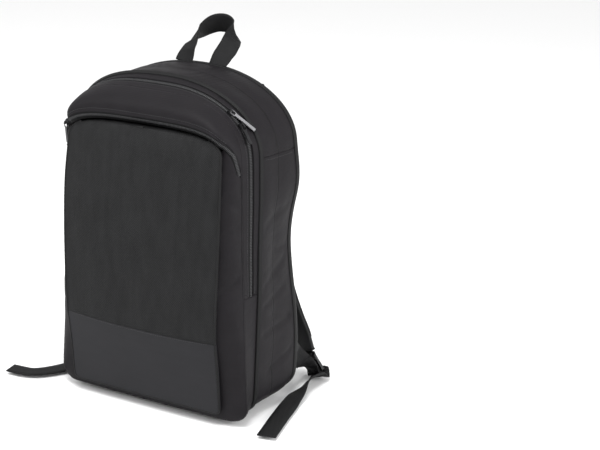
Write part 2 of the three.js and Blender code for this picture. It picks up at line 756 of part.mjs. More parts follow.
// Side and base gusset of the pocket, from the left end of the zip round the base to the right end
const END_STEP = 0.02;
const rightEnd = [SHOULDER - END_STEP, SHOULDER, SHOULDER + 1, SHOULDER + 2];
const leftEnd = rightEnd.map((index) => LOOP - 1 - index).reverse();
const gussetIndices = [...leftEnd, ...indexSpan(mirrored(SHOULDER - 1), SHOULDER - 1), ...rightEnd];
add('pocket_gusset', pocketStrip(gussetIndices, (index) => {
  if (halfIndex(index) < SHOULDER) return { from: 0, to: 1 };
  const { low, gap } = zipShares(index);
  return { from: 0, to: low - gap };
}, [0, 0.25, 0.5, 0.75, 1]), NYLON);

// Zip of the pocket with its coil raised along the middle
const zipIndices = [
  SHOULDER + END_STEP,
  ...indexSpan(SHOULDER + 1, mirrored(SHOULDER + 1)),
  mirrored(SHOULDER) - END_STEP,
];
add('pocket_zip', pocketStrip(zipIndices, (index) => {
  const { low, high } = zipShares(index);
  return { from: low, to: high };
}, [0, 0.5, 1], (row) => (row === 0.5 ? COIL_RISE : 0), true), ZIP_TAPE);

// Pocket panel: textured cloth above its seam, smooth coated cloth below
const PANEL_SHARES = [0, 0.35, 0.65, 0.88, 1];
const PANEL_CROWN_POWER = 2.4;
const BACK_SHARES = [0, 0.28, 0.52, 0.72, 0.9, 1];
const BACK_CROWN_POWER = 2.2;
const PANEL_UPPER_STEPS = 6;
const PANEL_LOWER_STEPS = 3;
const PANEL_SEAM_INDEX = CORNER_STEPS + PANEL_LOWER_STEPS;
const bothSides = (shares) => [...shares.slice(1).reverse().map((share) => -share), ...shares];

function pocketPanelRows(outline) {
  return halfOutline(outline, [
    { z: PANEL_SEAM_HEIGHT, steps: PANEL_LOWER_STEPS },
    { z: outline.shoulder, steps: PANEL_UPPER_STEPS },
  ]);
}

/** One skin of the pocket's panel, with the lip that its edge turns back. */
function pocketPanelSkin(outline, first, last, set) {
  const rows = pocketPanelRows(outline);
  const shares = bothSides(PANEL_SHARES);
  const lipRow = (row) => [-1, ...shares, 1].map((share) => (
    new THREE.Vector3(row.x * share, pocketEdgeY(row.z) + PANEL_LIP, row.z)
  ));
  const grid = rows.slice(first, last + 1).map((row) => {
    const edge = pocketEdgeY(row.z);
    const crown = pocketCrownY(row.z);
    const face = shares.map((share) => new THREE.Vector3(
      row.x * share,
      lerp(crown, edge, Math.abs(share) ** PANEL_CROWN_POWER) + set,
      row.z,
    ));
    const lip = (side) => new THREE.Vector3(side * row.x, edge + PANEL_LIP, row.z);
    return [lip(-1), ...face, lip(1)];
  });
  if (first === 0) grid.unshift(lipRow(rows[0]));
  if (last === rows.length - 1) grid.push(lipRow(rows[last]));
  return grid;
}

function pocketPanel(first, last, shift) {
  const innerOutline = inset(POCKET_EDGE, PANEL_CLOTH, PANEL_CLOTH);
  const skins = [
    pocketPanelSkin(POCKET_EDGE, first, last, 0),
    pocketPanelSkin({ ...innerOutline, corner: POCKET_CORNER - PANEL_CLOTH }, first, last, PANEL_CLOTH),
  ];
  const seamRow = (grid) => (shift > 0 ? grid[0] : grid[grid.length - 1]);
  for (const grid of skins) {
    for (const point of seamRow(grid)) point.z += shift;
  }
  return solidBetween(...skins);
}
const panelTopIndex = pocketPanelRows(POCKET_EDGE).length - 1;
add('pocket_panel', pocketPanel(PANEL_SEAM_INDEX, panelTopIndex, halfGap), BALLISTIC);
add('pocket_lower_panel', pocketPanel(0, PANEL_SEAM_INDEX, -halfGap), COATED);

// Back panel, padded and crowned
const backPanelOutline = inset(BACK_SEAM, BINDING_WALL - BINDING_RISE + 2 * SEAM_GAP, BACK_SEAM_FOOT + BINDING_WALL);
const backRows = ringOf(backPanelOutline).slice(0, CROWN + 1);
const backSurfaceY = (share, z) => backSeamY(z) + backCrown(z) * (1 - Math.abs(share) ** BACK_CROWN_POWER);

/** Rows of the back's surface, raised by a height that may change over it. */
function backSkin(first, last, shares, raise) {
  return backRows.slice(first, last + 1).map((row) => shares.map((share) => (
    new THREE.Vector3(row.x * share, backSurfaceY(share, row.z) + raise(share, row.z), row.z)
  )));
}
const backShares = bothSides(BACK_SHARES);
add('back_panel', solidBetween(
  backSkin(0, CROWN, backShares, () => BACK_FOAM / 2),
  backSkin(0, CROWN, backShares, () => -BACK_FOAM / 2),
), PADDING);

// Upper back pad and lower back pocket, both lying on the back panel
const onBack = BACK_FOAM / 2 + SEAM_GAP;
const PAD_FIRST = ZIP_LOW + 2;
const PAD_LAST = SHOULDER + 2;
const BACK_POCKET_FIRST = CORNER_STEPS + 1;
const BACK_POCKET_LAST = ZIP_LOW;
const padShares = bothSides(BACK_SHARES.slice(0, 4));
const padEdgeZ = [backRows[PAD_FIRST].z, backRows[PAD_LAST].z];
const padRise = (share, z) => {
  const across = 1 - (Math.abs(share) / BACK_SHARES[3]) ** 4;
  const up = smooth((z - padEdgeZ[0]) / FOLD_SPREAD) * smooth((padEdgeZ[1] - z) / FOLD_SPREAD);
  return PAD_EDGE + PAD_RISE * across * up;
};
add('back_pad_upper', solidBetween(
  backSkin(PAD_FIRST, PAD_LAST, padShares, (share, z) => onBack + padRise(share, z)),
  backSkin(PAD_FIRST, PAD_LAST, padShares, () => onBack),
), PADDING);

const pocketShares = bothSides(BACK_SHARES.slice(0, 5));
const pocketTopZ = backRows[BACK_POCKET_LAST].z;
const pocketFootZ = backRows[BACK_POCKET_FIRST].z;
const backPocketRise = (share, z) => {
  const up = clamp01((z - pocketFootZ) / (pocketTopZ - pocketFootZ));
  return PAD_EDGE + BACK_POCKET_RISE * (1 - Math.abs(share) ** 4) * Math.sin(Math.PI * lerp(0.08, 0.86, up)) ** 0.9;
};
add('back_pocket', solidBetween(
  backSkin(BACK_POCKET_FIRST, BACK_POCKET_LAST, pocketShares, (share, z) => onBack + backPocketRise(share, z)),
  backSkin(BACK_POCKET_FIRST, BACK_POCKET_LAST, pocketShares, () => onBack),
), PADDING);

// Zip along the top of the back pocket
const backZipRows = (raise) => [0, 1].map((top) => pocketShares.map((share) => {
  const z = pocketTopZ + SEAM_GAP + top * BACK_ZIP_DEPTH;
  const row = backRows[BACK_POCKET_LAST];
  const next = backRows[BACK_POCKET_LAST + 1];
  const x = lerp(row.x, next.x, (z - row.z) / (next.z - row.z)) * share;
  const low = backSurfaceY(share, row.z);
  const high = backSurfaceY(share, next.z);
  return new THREE.Vector3(x, lerp(low, high, (z - row.z) / (next.z - row.z)) + raise, z);
}));
const backZipRise = onBack + CLOTH * 1.5;
add('back_pocket_zip', solidBetween(backZipRows(backZipRise), backZipRows(onBack)), ZIP_TAPE);

// Handle: a loop of webbing whose two ends are sewn flat into the back seam's top
const HANDLE_RISE = 42;
const HANDLE_LEAN = 52;
const HANDLE_SPREAD = 26;
const handleFootZ = (x) => {
  const rows = bindingRing.slice(SHOULDER, CROWN + 1);
  const found = rows.findIndex((row) => row.x < x);
  const k = found < 1 ? rows.length - 1 : found;
  return lerp(rows[k - 1].z, rows[k].z, clamp01((rows[k - 1].x - x) / (rows[k - 1].x - rows[k].x)));
};
const HANDLE_ROUTE = [
  { side: -1.00, lean: 0.00, rise: 0.00, wide: [1, 0, 0] },
  { side: -0.93, lean: 0.22, rise: 0.34, wide: [0.85, 0.05, 0.5] },
  { side: -0.66, lean: 0.60, rise: 0.78, wide: [0.4, 0, 0.9] },
  { side: -0.15, lean: 0.90, rise: 1.00, wide: [0.08, -0.25, 0.94] },
  { side: 0.42, lean: 1.00, rise: 0.98, wide: [-0.1, -0.25, 0.94] },
  { side: 0.86, lean: 0.92, rise: 0.80, wide: [-0.3, 0, 0.93] },
  { side: 1.06, lean: 0.55, rise: 0.44, wide: [-0.75, 0.05, 0.6] },
  { side: 1.02, lean: 0.22, rise: 0.18, wide: [-0.95, 0, 0.25] },
  { side: 1.00, lean: 0.00, rise: 0.00, wide: [-1, 0, 0] },
];
const handleClear = HANDLE_THICK + SEAM_GAP;
const handleRows = HANDLE_ROUTE.map((row) => {
  const x = row.side * HANDLE_SPREAD;
  const footZ = handleFootZ(Math.max(Math.abs(x) - HANDLE_WIDTH / 2, 0)) + handleClear;
  return {
    at: [x, backSeamY(BODY_HEIGHT) + row.lean * HANDLE_LEAN, footZ + row.rise * HANDLE_RISE],
    wide: row.wide,
  };
});
add('handle', ribbon(handleRows, 28, () => ({ half: HANDLE_WIDTH / 2, thick: HANDLE_THICK / 2 })), WEBBING);

// Shoulder straps. Places are shares: x of half the body width, y of the strap's
// bow behind the back seam, z of the body height. turn is the strap's twist in degrees.
const STRAP_BOW = 70;
const STRAP_ROUTE = [
  { x: 0.42, y: 0.04, z: 0.945, turn: 0 },
  { x: 0.43, y: 0.10, z: 0.920, turn: 0 },
  { x: 0.455, y: 0.20, z: 0.865, turn: 3 },
  { x: 0.485, y: 0.33, z: 0.795, turn: 5 },
  { x: 0.51, y: 0.49, z: 0.705, turn: 8 },
  { x: 0.53, y: 0.60, z: 0.600, turn: 11 },
  { x: 0.545, y: 0.70, z: 0.480, turn: 13 },
  { x: 0.57, y: 0.80, z: 0.360, turn: 15 },
  { x: 0.65, y: 0.92, z: 0.250, turn: 18 },
  { x: 0.76, y: 1.01, z: 0.160, turn: 21 },
  { x: 0.873, y: 1.09, z: 0.086, turn: 24 },
];
const strapWidthAxis = (side, turn) => {
  const angle = (turn * Math.PI) / 180;
  return [side * Math.cos(angle), -Math.sin(angle), 0];
};
const strapRows = (side) => STRAP_ROUTE.map((row) => ({
  at: [side * row.x * HALF_WIDTH, BACK_SEAM_Y + row.y * STRAP_BOW, row.z * BODY_HEIGHT],
  wide: strapWidthAxis(side, row.turn),
}));
const strapProfile = (share) => {
  const end = smooth((share - 0.9) / 0.1);
  const start = 1 - smooth(share / 0.06);
  return {
    half: lerp(STRAP_WIDTH, STRAP_END_WIDTH, end * end) / 2,
    thick: (STRAP_THICK / 2) * (1 - 0.35 * end - 0.6 * start),
  };
};

// Ladder buckle below each strap, in its own frame: down along the strap, across, and out
const BUCKLE_PLACE = { x: 0.918, y: 1.185, z: 0.045 };
const BUCKLE_DOWN = [0.333, 0.354, -0.873];
const BUCKLE_ACROSS = [0.894, -0.416, 0.172];

function buckleFrame(side) {
  const down = new THREE.Vector3(side * BUCKLE_DOWN[0], BUCKLE_DOWN[1], BUCKLE_DOWN[2]).normalize();
  const across = new THREE.Vector3(side * BUCKLE_ACROSS[0], BUCKLE_ACROSS[1], BUCKLE_ACROSS[2]);
  across.addScaledVector(down, -across.dot(down)).normalize();
  const out = new THREE.Vector3().crossVectors(across, down).multiplyScalar(side);
  const centre = new THREE.Vector3(
    side * BUCKLE_PLACE.x * HALF_WIDTH,
    BACK_SEAM_Y + BUCKLE_PLACE.y * STRAP_BOW,
    BUCKLE_PLACE.z * BODY_HEIGHT,
  );
  const spot = (v, n) => centre.clone().addScaledVector(down, v).addScaledVector(out, n).toArray();
  return { down, across, out, centre, spot };
}

const STRAP_LOOP_LENGTH = 5;
const topBar = -(BUCKLE_LENGTH - BUCKLE_BAR) / 2;
const layer = BUCKLE_THICK / 2 + WEBBING_THICK / 2 + 2 * SEAM_GAP;

/** Places round one side of a bar, from one face of the buckle to the other. */
function roundBar(spot, wide, bar, towards, face) {
  const edge = bar + towards * (BUCKLE_BAR / 2);
  const clear = towards * (WEBBING_THICK / 2 + 3 * SEAM_GAP);
  return [
    { at: spot(bar, face * layer), wide },
    { at: spot(edge + clear * 0.7, face * layer * 0.72), wide },
    { at: spot(edge + clear * 1.15, 0), wide },
    { at: spot(edge + clear * 0.7, -face * layer * 0.72), wide },
    { at: spot(bar, -face * layer), wide },
  ];
}
const LOOP_SLOT_WIDTH = WEBBING_WIDTH + 2.4;
const WEBBING_SLOT_WIDTH = WEBBING_WIDTH + 2;

function buckleShape() {
  const halfLength = BUCKLE_LENGTH / 2;
  const halfWidth = BUCKLE_WIDTH / 2;
  const chamfer = BUCKLE_BAR / 2;
  const shape = polygon([
    [-halfLength, -halfWidth + chamfer], [-halfLength + chamfer, -halfWidth],
    [halfLength - chamfer, -halfWidth], [halfLength, -halfWidth + chamfer],
    [halfLength, halfWidth - chamfer], [halfLength - chamfer, halfWidth],
    [-halfLength + chamfer, halfWidth], [-halfLength, halfWidth - chamfer],
  ]);
  const slots = [
    { low: -halfLength + BUCKLE_BAR, high: -BUCKLE_BAR / 2, wide: LOOP_SLOT_WIDTH },
    { low: BUCKLE_BAR / 2, high: halfLength - BUCKLE_BAR, wide: WEBBING_SLOT_WIDTH },
  ];
  for (const { low, high, wide } of slots) {
    shape.holes.push(polygon(rectangle(low, high, -wide / 2, wide / 2)));
  }
  return shape;
}

// Tail of each strap, lying on the floor from behind the bag to beside its front
// x is a share of half the body width beyond the side, y of the body's depth
// from its middle, lift how far the band stands up on its edge, 0 for flat.
const TAIL_RIGHT = [
  { x: 1.035, y: 1.00, lift: 0.5, wide: [0.8, 0.1, 0.6] },
  { x: 1.045, y: 0.72, lift: 0.6, wide: [0.6, 0.1, 0.75] },
  { x: 1.07, y: 0.42, lift: 0.15, wide: [0.95, 0.1, 0.2] },
  { x: 1.115, y: 0.15, lift: 0, wide: [1, 0.2, 0] },
  { x: 1.175, y: -0.18, lift: 0, wide: [1, 0.25, 0] },
  { x: 1.225, y: -0.43, lift: 0, wide: [1, 0.2, 0] },
  { x: 1.268, y: -0.65, lift: 0, wide: [1, 0.1, 0] },
];
const TAIL_LEFT = [
  { x: 1.035, y: 1.00, lift: 0.1, wide: [-1, 0.1, 0.1] },
  { x: 1.04, y: 0.60, lift: 0, wide: [-1, 0, 0] },
  { x: 1.05, y: 0.25, lift: 0, wide: [-1, 0, 0] },
  { x: 1.085, y: -0.05, lift: 0, wide: [-1, 0.3, 0] },
  { x: 1.16, y: -0.36, lift: 0, wide: [-0.85, 0.6, 0] },
  { x: 1.33, y: -0.63, lift: 0, wide: [-0.5, 0.88, 0] },
  { x: 1.57, y: -0.68, lift: 0, wide: [-0.1, 1, 0] },
];
const ANCHOR = { y: 0.34, z: 0.117 };
const ANCHOR_PLANE = 0.955;
const anchorTip = (side) => new THREE.Vector3(
  side * ANCHOR_PLANE * HALF_WIDTH,
  BACK_SEAM_Y + ANCHOR.y * STRAP_BOW,
  ANCHOR.z * BODY_HEIGHT,
);
const ANCHOR_FALL = new THREE.Vector3(0, 0.72, -0.69).normalize();
const ANCHOR_WIDE = new THREE.Vector3(0, 0.69, 0.72).normalize();
const TAB_HALF_HEIGHT = 24;
const TAB_START_GAP = 0.4;

function anchorTab(side) {
  const tip = anchorTip(side);
  const middleZ = tip.z + WEBBING_WIDTH / 4;
  const seat = (step) => {
    const z = middleZ + step * TAB_HALF_HEIGHT;
    const share = (ANCHOR_PLANE * HALF_WIDTH - TAB_THICK / 2) / sideWidth(backPanelOutline, z);
    const overBinding = backSeamY(z) + BINDING_DEPTH / 2;
    return [Math.max(backSurfaceY(share, z) + BACK_FOAM / 2, overBinding) + TAB_START_GAP, z];
  };
  const corner = (sign) => {
    const edge = tip.clone().addScaledVector(ANCHOR_WIDE, (sign * WEBBING_WIDTH) / 2);
    return [edge.y, edge.z];
  };
  const shape = polygon([seat(-1), corner(-1), corner(1), seat(1), seat(0.5), seat(0), seat(-0.5)]);
  const origin = new THREE.Vector3(tip.x - TAB_THICK / 2, 0, 0);
  return plate(shape, TAB_THICK, origin, new THREE.Vector3(0, 1, 0), new THREE.Vector3(1, 0, 0));
}

function strapWebbing(side, tail) {
  const { spot, across } = buckleFrame(side);
  const wide = across.toArray();
  const tip = anchorTip(side);
  const fromTip = (distance) => tip.clone().addScaledVector(ANCHOR_FALL, distance).toArray();
  const x = (share) => side * share * HALF_WIDTH;
  const y = (share) => BACK_SEAM_Y + share * STRAP_BOW;
  const floor = WEBBING_THICK / 2;
  const rows = [
    { at: fromTip(2 * SEAM_GAP), wide: ANCHOR_WIDE.toArray() },
    { at: fromTip(WEBBING_WIDTH / 5), wide: ANCHOR_WIDE.toArray() },
    { at: [x(0.96), y(0.54), 0.085 * BODY_HEIGHT], wide: [side * 0.25, 0.6, 0.7] },
    { at: [x(0.957), y(0.80), 0.055 * BODY_HEIGHT], wide: [side * 0.75, 0.1, 0.45] },
    { at: [x(0.945), y(1.05), 0.026 * BODY_HEIGHT], wide },
    { at: spot(BUCKLE_LENGTH / 2 + 4, -layer - 2.5), wide },
    { at: spot(BUCKLE_LENGTH / 4, -layer), wide },
    ...roundBar(spot, wide, 0, -1, -1),
    { at: spot(BUCKLE_LENGTH / 2 - 2, layer + 2 * SEAM_GAP), wide },
    { at: spot(BUCKLE_LENGTH / 2 + 5, layer + 3 * SEAM_GAP), wide },
    { at: [x(1.0), y(1.24), floor + 3], wide: [side, -0.1, 0.05] },
    { at: [x(1.02), y(1.17), floor], wide: [side, 0, 0] },
    ...tail.map((row) => ({
      at: [x(row.x), row.y * BODY_DEPTH, floor + (row.lift * WEBBING_WIDTH) / 2],
      wide: row.wide,
    })),
  ];
  return ribbon(rows, 3 * (rows.length - 1), () => ({ half: WEBBING_WIDTH / 2, thick: WEBBING_THICK / 2 }));
}

function buckleLoop(side) {
  const { spot, across } = buckleFrame(side);
  const wide = across.toArray();
  const start = topBar - STRAP_LOOP_LENGTH;
  const rows = [
    { at: spot(start, WEBBING_THICK / 2 + SEAM_GAP), wide },
    { at: spot(topBar - 4, layer), wide },
    ...roundBar(spot, wide, topBar, 1, 1),
    { at: spot(topBar - 4, -layer), wide },
    { at: spot(start, -WEBBING_THICK / 2 - SEAM_GAP), wide },
  ];
  return ribbon(rows, 20, () => ({ half: WEBBING_WIDTH / 2, thick: WEBBING_THICK / 2 }));
}
for (const [label, side, tail] of [['right', 1, TAIL_RIGHT], ['left', -1, TAIL_LEFT]]) {
  const { down, out, centre } = buckleFrame(side);
  const buckleOrigin = centre.clone().addScaledVector(out, -BUCKLE_THICK / 2);
  add(`shoulder_strap_${label}`, ribbon(strapRows(side), 24, strapProfile, true), PADDING);
  add(`buckle_loop_${label}`, buckleLoop(side), WEBBING);
  add(`buckle_${label}`, plate(buckleShape(), BUCKLE_THICK, buckleOrigin, down, out), PLASTIC);
  add(`anchor_tab_${label}`, anchorTab(side), BINDING);
  add(`strap_webbing_${label}`, strapWebbing(side, tail), WEBBING);
}

// Zip sliders and their pulls
// A slider lies along its zip. Its bridge holds the pull's bar, and the pull hangs down.
const bridgeFoot = SLIDER_BASE + SEAM_GAP;
const bridgeTop = bridgeFoot + PULL_WIRE + 2 * SEAM_GAP + PULL_WIRE;

function bridgeShape() {
  const half = BRIDGE_LENGTH / 2;
  const hole = half - PULL_WIRE;
  const shape = polygon([[-half, SLIDER_BASE / 2], [half, SLIDER_BASE / 2], [half, bridgeTop - PULL_WIRE / 2],
    [half - PULL_WIRE / 2, bridgeTop], [-half + PULL_WIRE / 2, bridgeTop], [-half, bridgeTop - PULL_WIRE / 2]]);
  shape.holes.push(polygon(rectangle(-hole, hole, SLIDER_BASE, bridgeTop - PULL_WIRE)));
  return shape;
}

function pullShape(length) {
  const half = PULL_RING_WIDTH / 2;
  const tab = PULL_TAB_WIDTH / 2;
  const bar = PULL_WIRE / 2;
  const ringEnd = PULL_RING_LENGTH;
  const shape = polygon([
    [-bar, -half], [ringEnd, -half], [ringEnd + 2, -tab], [length - 1, -tab], [length, -tab + 1],
    [length, tab - 1], [length - 1, tab], [ringEnd + 2, tab], [ringEnd, half], [-bar, half],
  ]);
  shape.holes.push(polygon(rectangle(bar, ringEnd, -half + PULL_WIRE, half - PULL_WIRE)));
  return shape;
}

/**
 * Adds a slider and its pull on a zip's surface at a point with an outward direction.
 * A crossed pull hangs square to its zip, with the side of its ring in the bridge.
 */
function addSlider({ name, point, zipAxis, outAxis, pullAxis, length, pullFinish, pullOut = outAxis, crossed = false }) {
  const out = outAxis.clone().normalize();
  const sideways = new THREE.Vector3().crossVectors(zipAxis, out).normalize();
  const seat = point.clone().addScaledVector(out, SEAM_GAP + COIL_RISE);
  const body = (shape, width) => (
    plate(shape, width, seat.clone().addScaledVector(sideways, -width / 2), zipAxis, sideways)
  );
  const half = SLIDER_LENGTH / 2;
  const base = polygon([[-half, 0], [half, 0], [half, SLIDER_BASE / 2], [half - 1.5, SLIDER_BASE],
    [-half + 1.5, SLIDER_BASE], [-half, SLIDER_BASE / 2]]);
  const slider = joined([body(base, SLIDER_WIDTH), body(bridgeShape(), BRIDGE_WIDTH)]);
  add(`${name}_slider`, slider, BLACK_METAL);
  const pullOrigin = seat.clone().addScaledVector(out, bridgeFoot);
  if (crossed) {
    const across = new THREE.Vector3().crossVectors(pullOut, pullAxis).normalize();
    pullOrigin.addScaledVector(across, (PULL_RING_WIDTH - PULL_WIRE) / 2);
    pullOrigin.addScaledVector(pullAxis, -(BRIDGE_WIDTH + PULL_WIRE) / 2 - SEAM_GAP);
  }
  add(`${name}_pull`, plate(pullShape(length), PULL_WIRE, pullOrigin, pullAxis, pullOut), pullFinish);
}

/** Point, outward direction and downward direction of a ring's right side at a height. */
function onRing(ring, y, z) {
  const index = ring.findIndex((point) => point.z > z);
  const low = ring[index - 1];
  const high = ring[index];
  const share = (z - low.z) / (high.z - low.z);
  const down = new THREE.Vector3(low.x - high.x, 0, low.z - high.z).normalize();
  return {
    point: new THREE.Vector3(lerp(low.x, high.x, share), y, z),
    out: new THREE.Vector3(-down.z, 0, down.x),
    down,
  };
}

const DOWN = new THREE.Vector3(0, 0, -1);
const coilRing = zipRing(coilY, COIL_RISE - ZIP_SINK);
const PULL_LEAN = 0.25;
const MAIN_SLIDERS = [
  { name: 'main_zip_front', up: 0.918, pull: MAIN_PULL_LENGTH, swing: 0.38, surface: PULL_METAL },
  { name: 'main_zip_rear', up: 0.884, pull: REAR_PULL_LENGTH, swing: -0.15, surface: BLACK_METAL },
];
for (const { name, up, pull, swing, surface } of MAIN_SLIDERS) {
  const z = up * BODY_HEIGHT;
  const { point, out, down } = onRing(coilRing, coilY, z);
  const hang = onRing(coilRing, coilY, z - PULL_LEAN * pull).point.sub(point).normalize();
  const lieOn = new THREE.Vector3(-hang.z, 0, hang.x);
  hang.y = swing;
  addSlider({
    name,
    point: point.clone().addScaledVector(out, -COIL_RISE),
    zipAxis: down,
    outAxis: out,
    pullAxis: hang,
    length: pull,
    pullFinish: surface,
    pullOut: lieOn,
  });
}

const pocketEnd = mirrored(DIAGONAL_TOP - 1);
const pocketNext = mirrored(DIAGONAL_TOP - 2);
const zipEdges = (index) => {
  const { low, high } = zipShares(index);
  return [pocketSurface(index, low), pocketSurface(index, high)];
};
const zipMiddle = (index) => {
  const [low, high] = zipEdges(index);
  return low.lerp(high, 0.5);
};
const pocketSpot = zipMiddle(pocketEnd);
const pocketWay = zipMiddle(pocketNext).sub(pocketSpot).normalize();
const [pocketLow, pocketHigh] = zipEdges(pocketEnd);
const pocketOut = pocketHigh.sub(pocketLow).cross(pocketWay).normalize();
if (pocketOut.x > 0) pocketOut.negate();
pocketSpot.addScaledVector(pocketOut, COIL_RISE + SEAM_GAP);
const pocketPullOut = new THREE.Vector3(pocketOut.x, pocketOut.y, pocketOut.z / 2);
addSlider({
  name: 'pocket_zip',
  point: pocketSpot,
  zipAxis: pocketWay,
  outAxis: pocketOut,
  pullAxis: DOWN,
  length: POCKET_PULL_LENGTH,
  pullFinish: BLACK_METAL,
  pullOut: pocketPullOut,
});

const backZipTop = backZipRows(backZipRise);
const backZipEnd = backZipTop[0][pocketShares.length - 1].clone().lerp(backZipTop[1][pocketShares.length - 1], 0.5);
const backZipInner = backZipTop[0][pocketShares.length - 2].clone().lerp(backZipTop[1][pocketShares.length - 2], 0.5);
const backWay = backZipEnd.clone().sub(backZipInner).normalize();
const backOut = new THREE.Vector3(0.5, 0.85, 0);
backOut.addScaledVector(backWay, -backOut.dot(backWay)).normalize();
const backSeat = backZipEnd.clone().addScaledVector(backWay, -SLIDER_LENGTH);
addSlider({
  name: 'back_pocket',
  point: backSeat,
  zipAxis: backWay,
  outAxis: backOut,
  pullAxis: DOWN,
  length: BACK_PULL_LENGTH,
  pullFinish: BLACK_METAL,
  crossed: true,
});

export default bag;
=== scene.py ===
# %% [markdown]
# # A black laptop backpack, dressed in Blender
# The solids of the bag arrive already built to size. This lesson gives each of them the look
# of the real thing: cloth that is sewn, folded and a little worn, zips with coils, webbing,
# padding and small metal parts. Nothing is moved or resized, because the solids also have to
# serve in a physics model. Each sewn piece is a finer copy of its solid, which it stands for.

# %% Load the bag's solids and a way to read a part's box
import math
from itertools import combinations

import bmesh
import bpy
import numpy as np
from mathutils import Matrix, Vector, noise
from mathutils.kdtree import KDTree


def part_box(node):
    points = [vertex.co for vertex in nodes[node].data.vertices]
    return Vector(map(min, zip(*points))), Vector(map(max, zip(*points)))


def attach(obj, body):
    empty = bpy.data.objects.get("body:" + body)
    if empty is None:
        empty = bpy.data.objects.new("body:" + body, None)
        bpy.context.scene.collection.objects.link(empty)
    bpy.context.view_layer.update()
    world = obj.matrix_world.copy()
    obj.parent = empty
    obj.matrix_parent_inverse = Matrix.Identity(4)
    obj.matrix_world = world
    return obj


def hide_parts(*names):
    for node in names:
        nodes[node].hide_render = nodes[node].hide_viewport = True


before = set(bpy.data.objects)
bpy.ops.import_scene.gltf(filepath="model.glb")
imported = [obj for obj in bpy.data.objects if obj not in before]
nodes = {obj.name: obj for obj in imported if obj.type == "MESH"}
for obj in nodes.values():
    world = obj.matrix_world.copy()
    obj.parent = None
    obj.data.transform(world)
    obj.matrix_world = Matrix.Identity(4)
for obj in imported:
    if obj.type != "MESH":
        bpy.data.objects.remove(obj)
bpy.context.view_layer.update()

MM = 0.001


# %% [markdown]
# ## The camera and the light
# A product photograph like this one is taken from a few metres away with a long lens, which
# keeps upright edges nearly parallel. So the camera stands about two metres off with a lens of
# about 96 mm. It could be aimed by eye, but matching a few corners of the bag to their places in
# the photograph gives its direction and distance as numbers. The bag stands left of the middle,
# so the lens is shifted instead of turned: a turned camera would change the perspective.

# %% Camera
TARGET = Vector((0, -25 * MM, 225 * MM))
AZIMUTH = math.radians(33.06)
ELEVATION = math.radians(17.7)
ROLL = math.radians(0.39)
DISTANCE = 2.1099
FOCAL_LENGTH = 95.59
FILM_WIDTH = 36
LENS_SHIFT = (0.2185, 0.0156)

backward = Vector((
    math.sin(AZIMUTH) * math.cos(ELEVATION),
    -math.cos(AZIMUTH) * math.cos(ELEVATION),
    math.sin(ELEVATION),
))
lens = bpy.data.cameras.new("product_camera")
lens.sensor_width = FILM_WIDTH
lens.lens = FOCAL_LENGTH
lens.shift_x, lens.shift_y = LENS_SHIFT
camera = bpy.data.objects.new("product_camera", lens)
bpy.context.collection.objects.link(camera)
turn = backward.to_track_quat("Z", "Y") @ Matrix.Rotation(ROLL, 3, "Z").to_quaternion()
camera.matrix_world = Matrix.Translation(TARGET + backward * DISTANCE) @ turn.to_matrix().to_4x4()
bpy.context.scene.camera = camera
print("camera at", [round(v, 3) for v in camera.location], "lens", lens.lens)

# %% [markdown]
# Black cloth is hard to light: its colour hardly changes, so its shape is read from the sheen of
# the weave. Three large soft lamps, at the left, above and at the right, give that sheen. They
# are weak, because a pale sky all round already lights the bag and makes the white background.

# %% Soft studio lamps, a pale sky and a pale floor
STUDIO_WHITE = (1.0, 1.0, 1.0)
SKY_STRENGTH = 0.95
LAMPS = {
    # name: place in metres, size in metres, watts
    "softbox_left": ((-1.5, -2.1, 1.9), 1.4, 36),
    "softbox_top": ((0.3, -0.9, 2.2), 1.0, 46),
    "softbox_right": ((2.2, 0.1, 0.9), 1.0, 34),
}


def softbox(name, place, size, watts):
    light = bpy.data.lights.new(name, "AREA")
    light.size = size
    light.energy = watts
    lamp = bpy.data.objects.new(name, light)
    bpy.context.collection.objects.link(lamp)
    lamp.location = place
    lamp.rotation_euler = (Vector(place) - TARGET).to_track_quat("Z", "Y").to_euler()


for lamp_name, (place, size, watts) in LAMPS.items():
    softbox(lamp_name, place, size, watts)

sky = bpy.data.worlds.new("studio_sky")
sky.use_nodes = True
sky.node_tree.nodes["Background"].inputs["Color"].default_value = (*STUDIO_WHITE, 1)
sky.node_tree.nodes["Background"].inputs["Strength"].default_value = SKY_STRENGTH
bpy.context.scene.world = sky
bpy.context.scene.view_settings.view_transform = "Standard"
print("lamps:", ", ".join(LAMPS))

# %% [markdown]
# ## A way to write shader sums
# A weave is a sum of waves, and in a node editor that is a tangle of Math nodes. Here a small
# class wraps one output of a node. Arithmetic on it adds the Math nodes, so a weave can be
# written down as the formula it is.


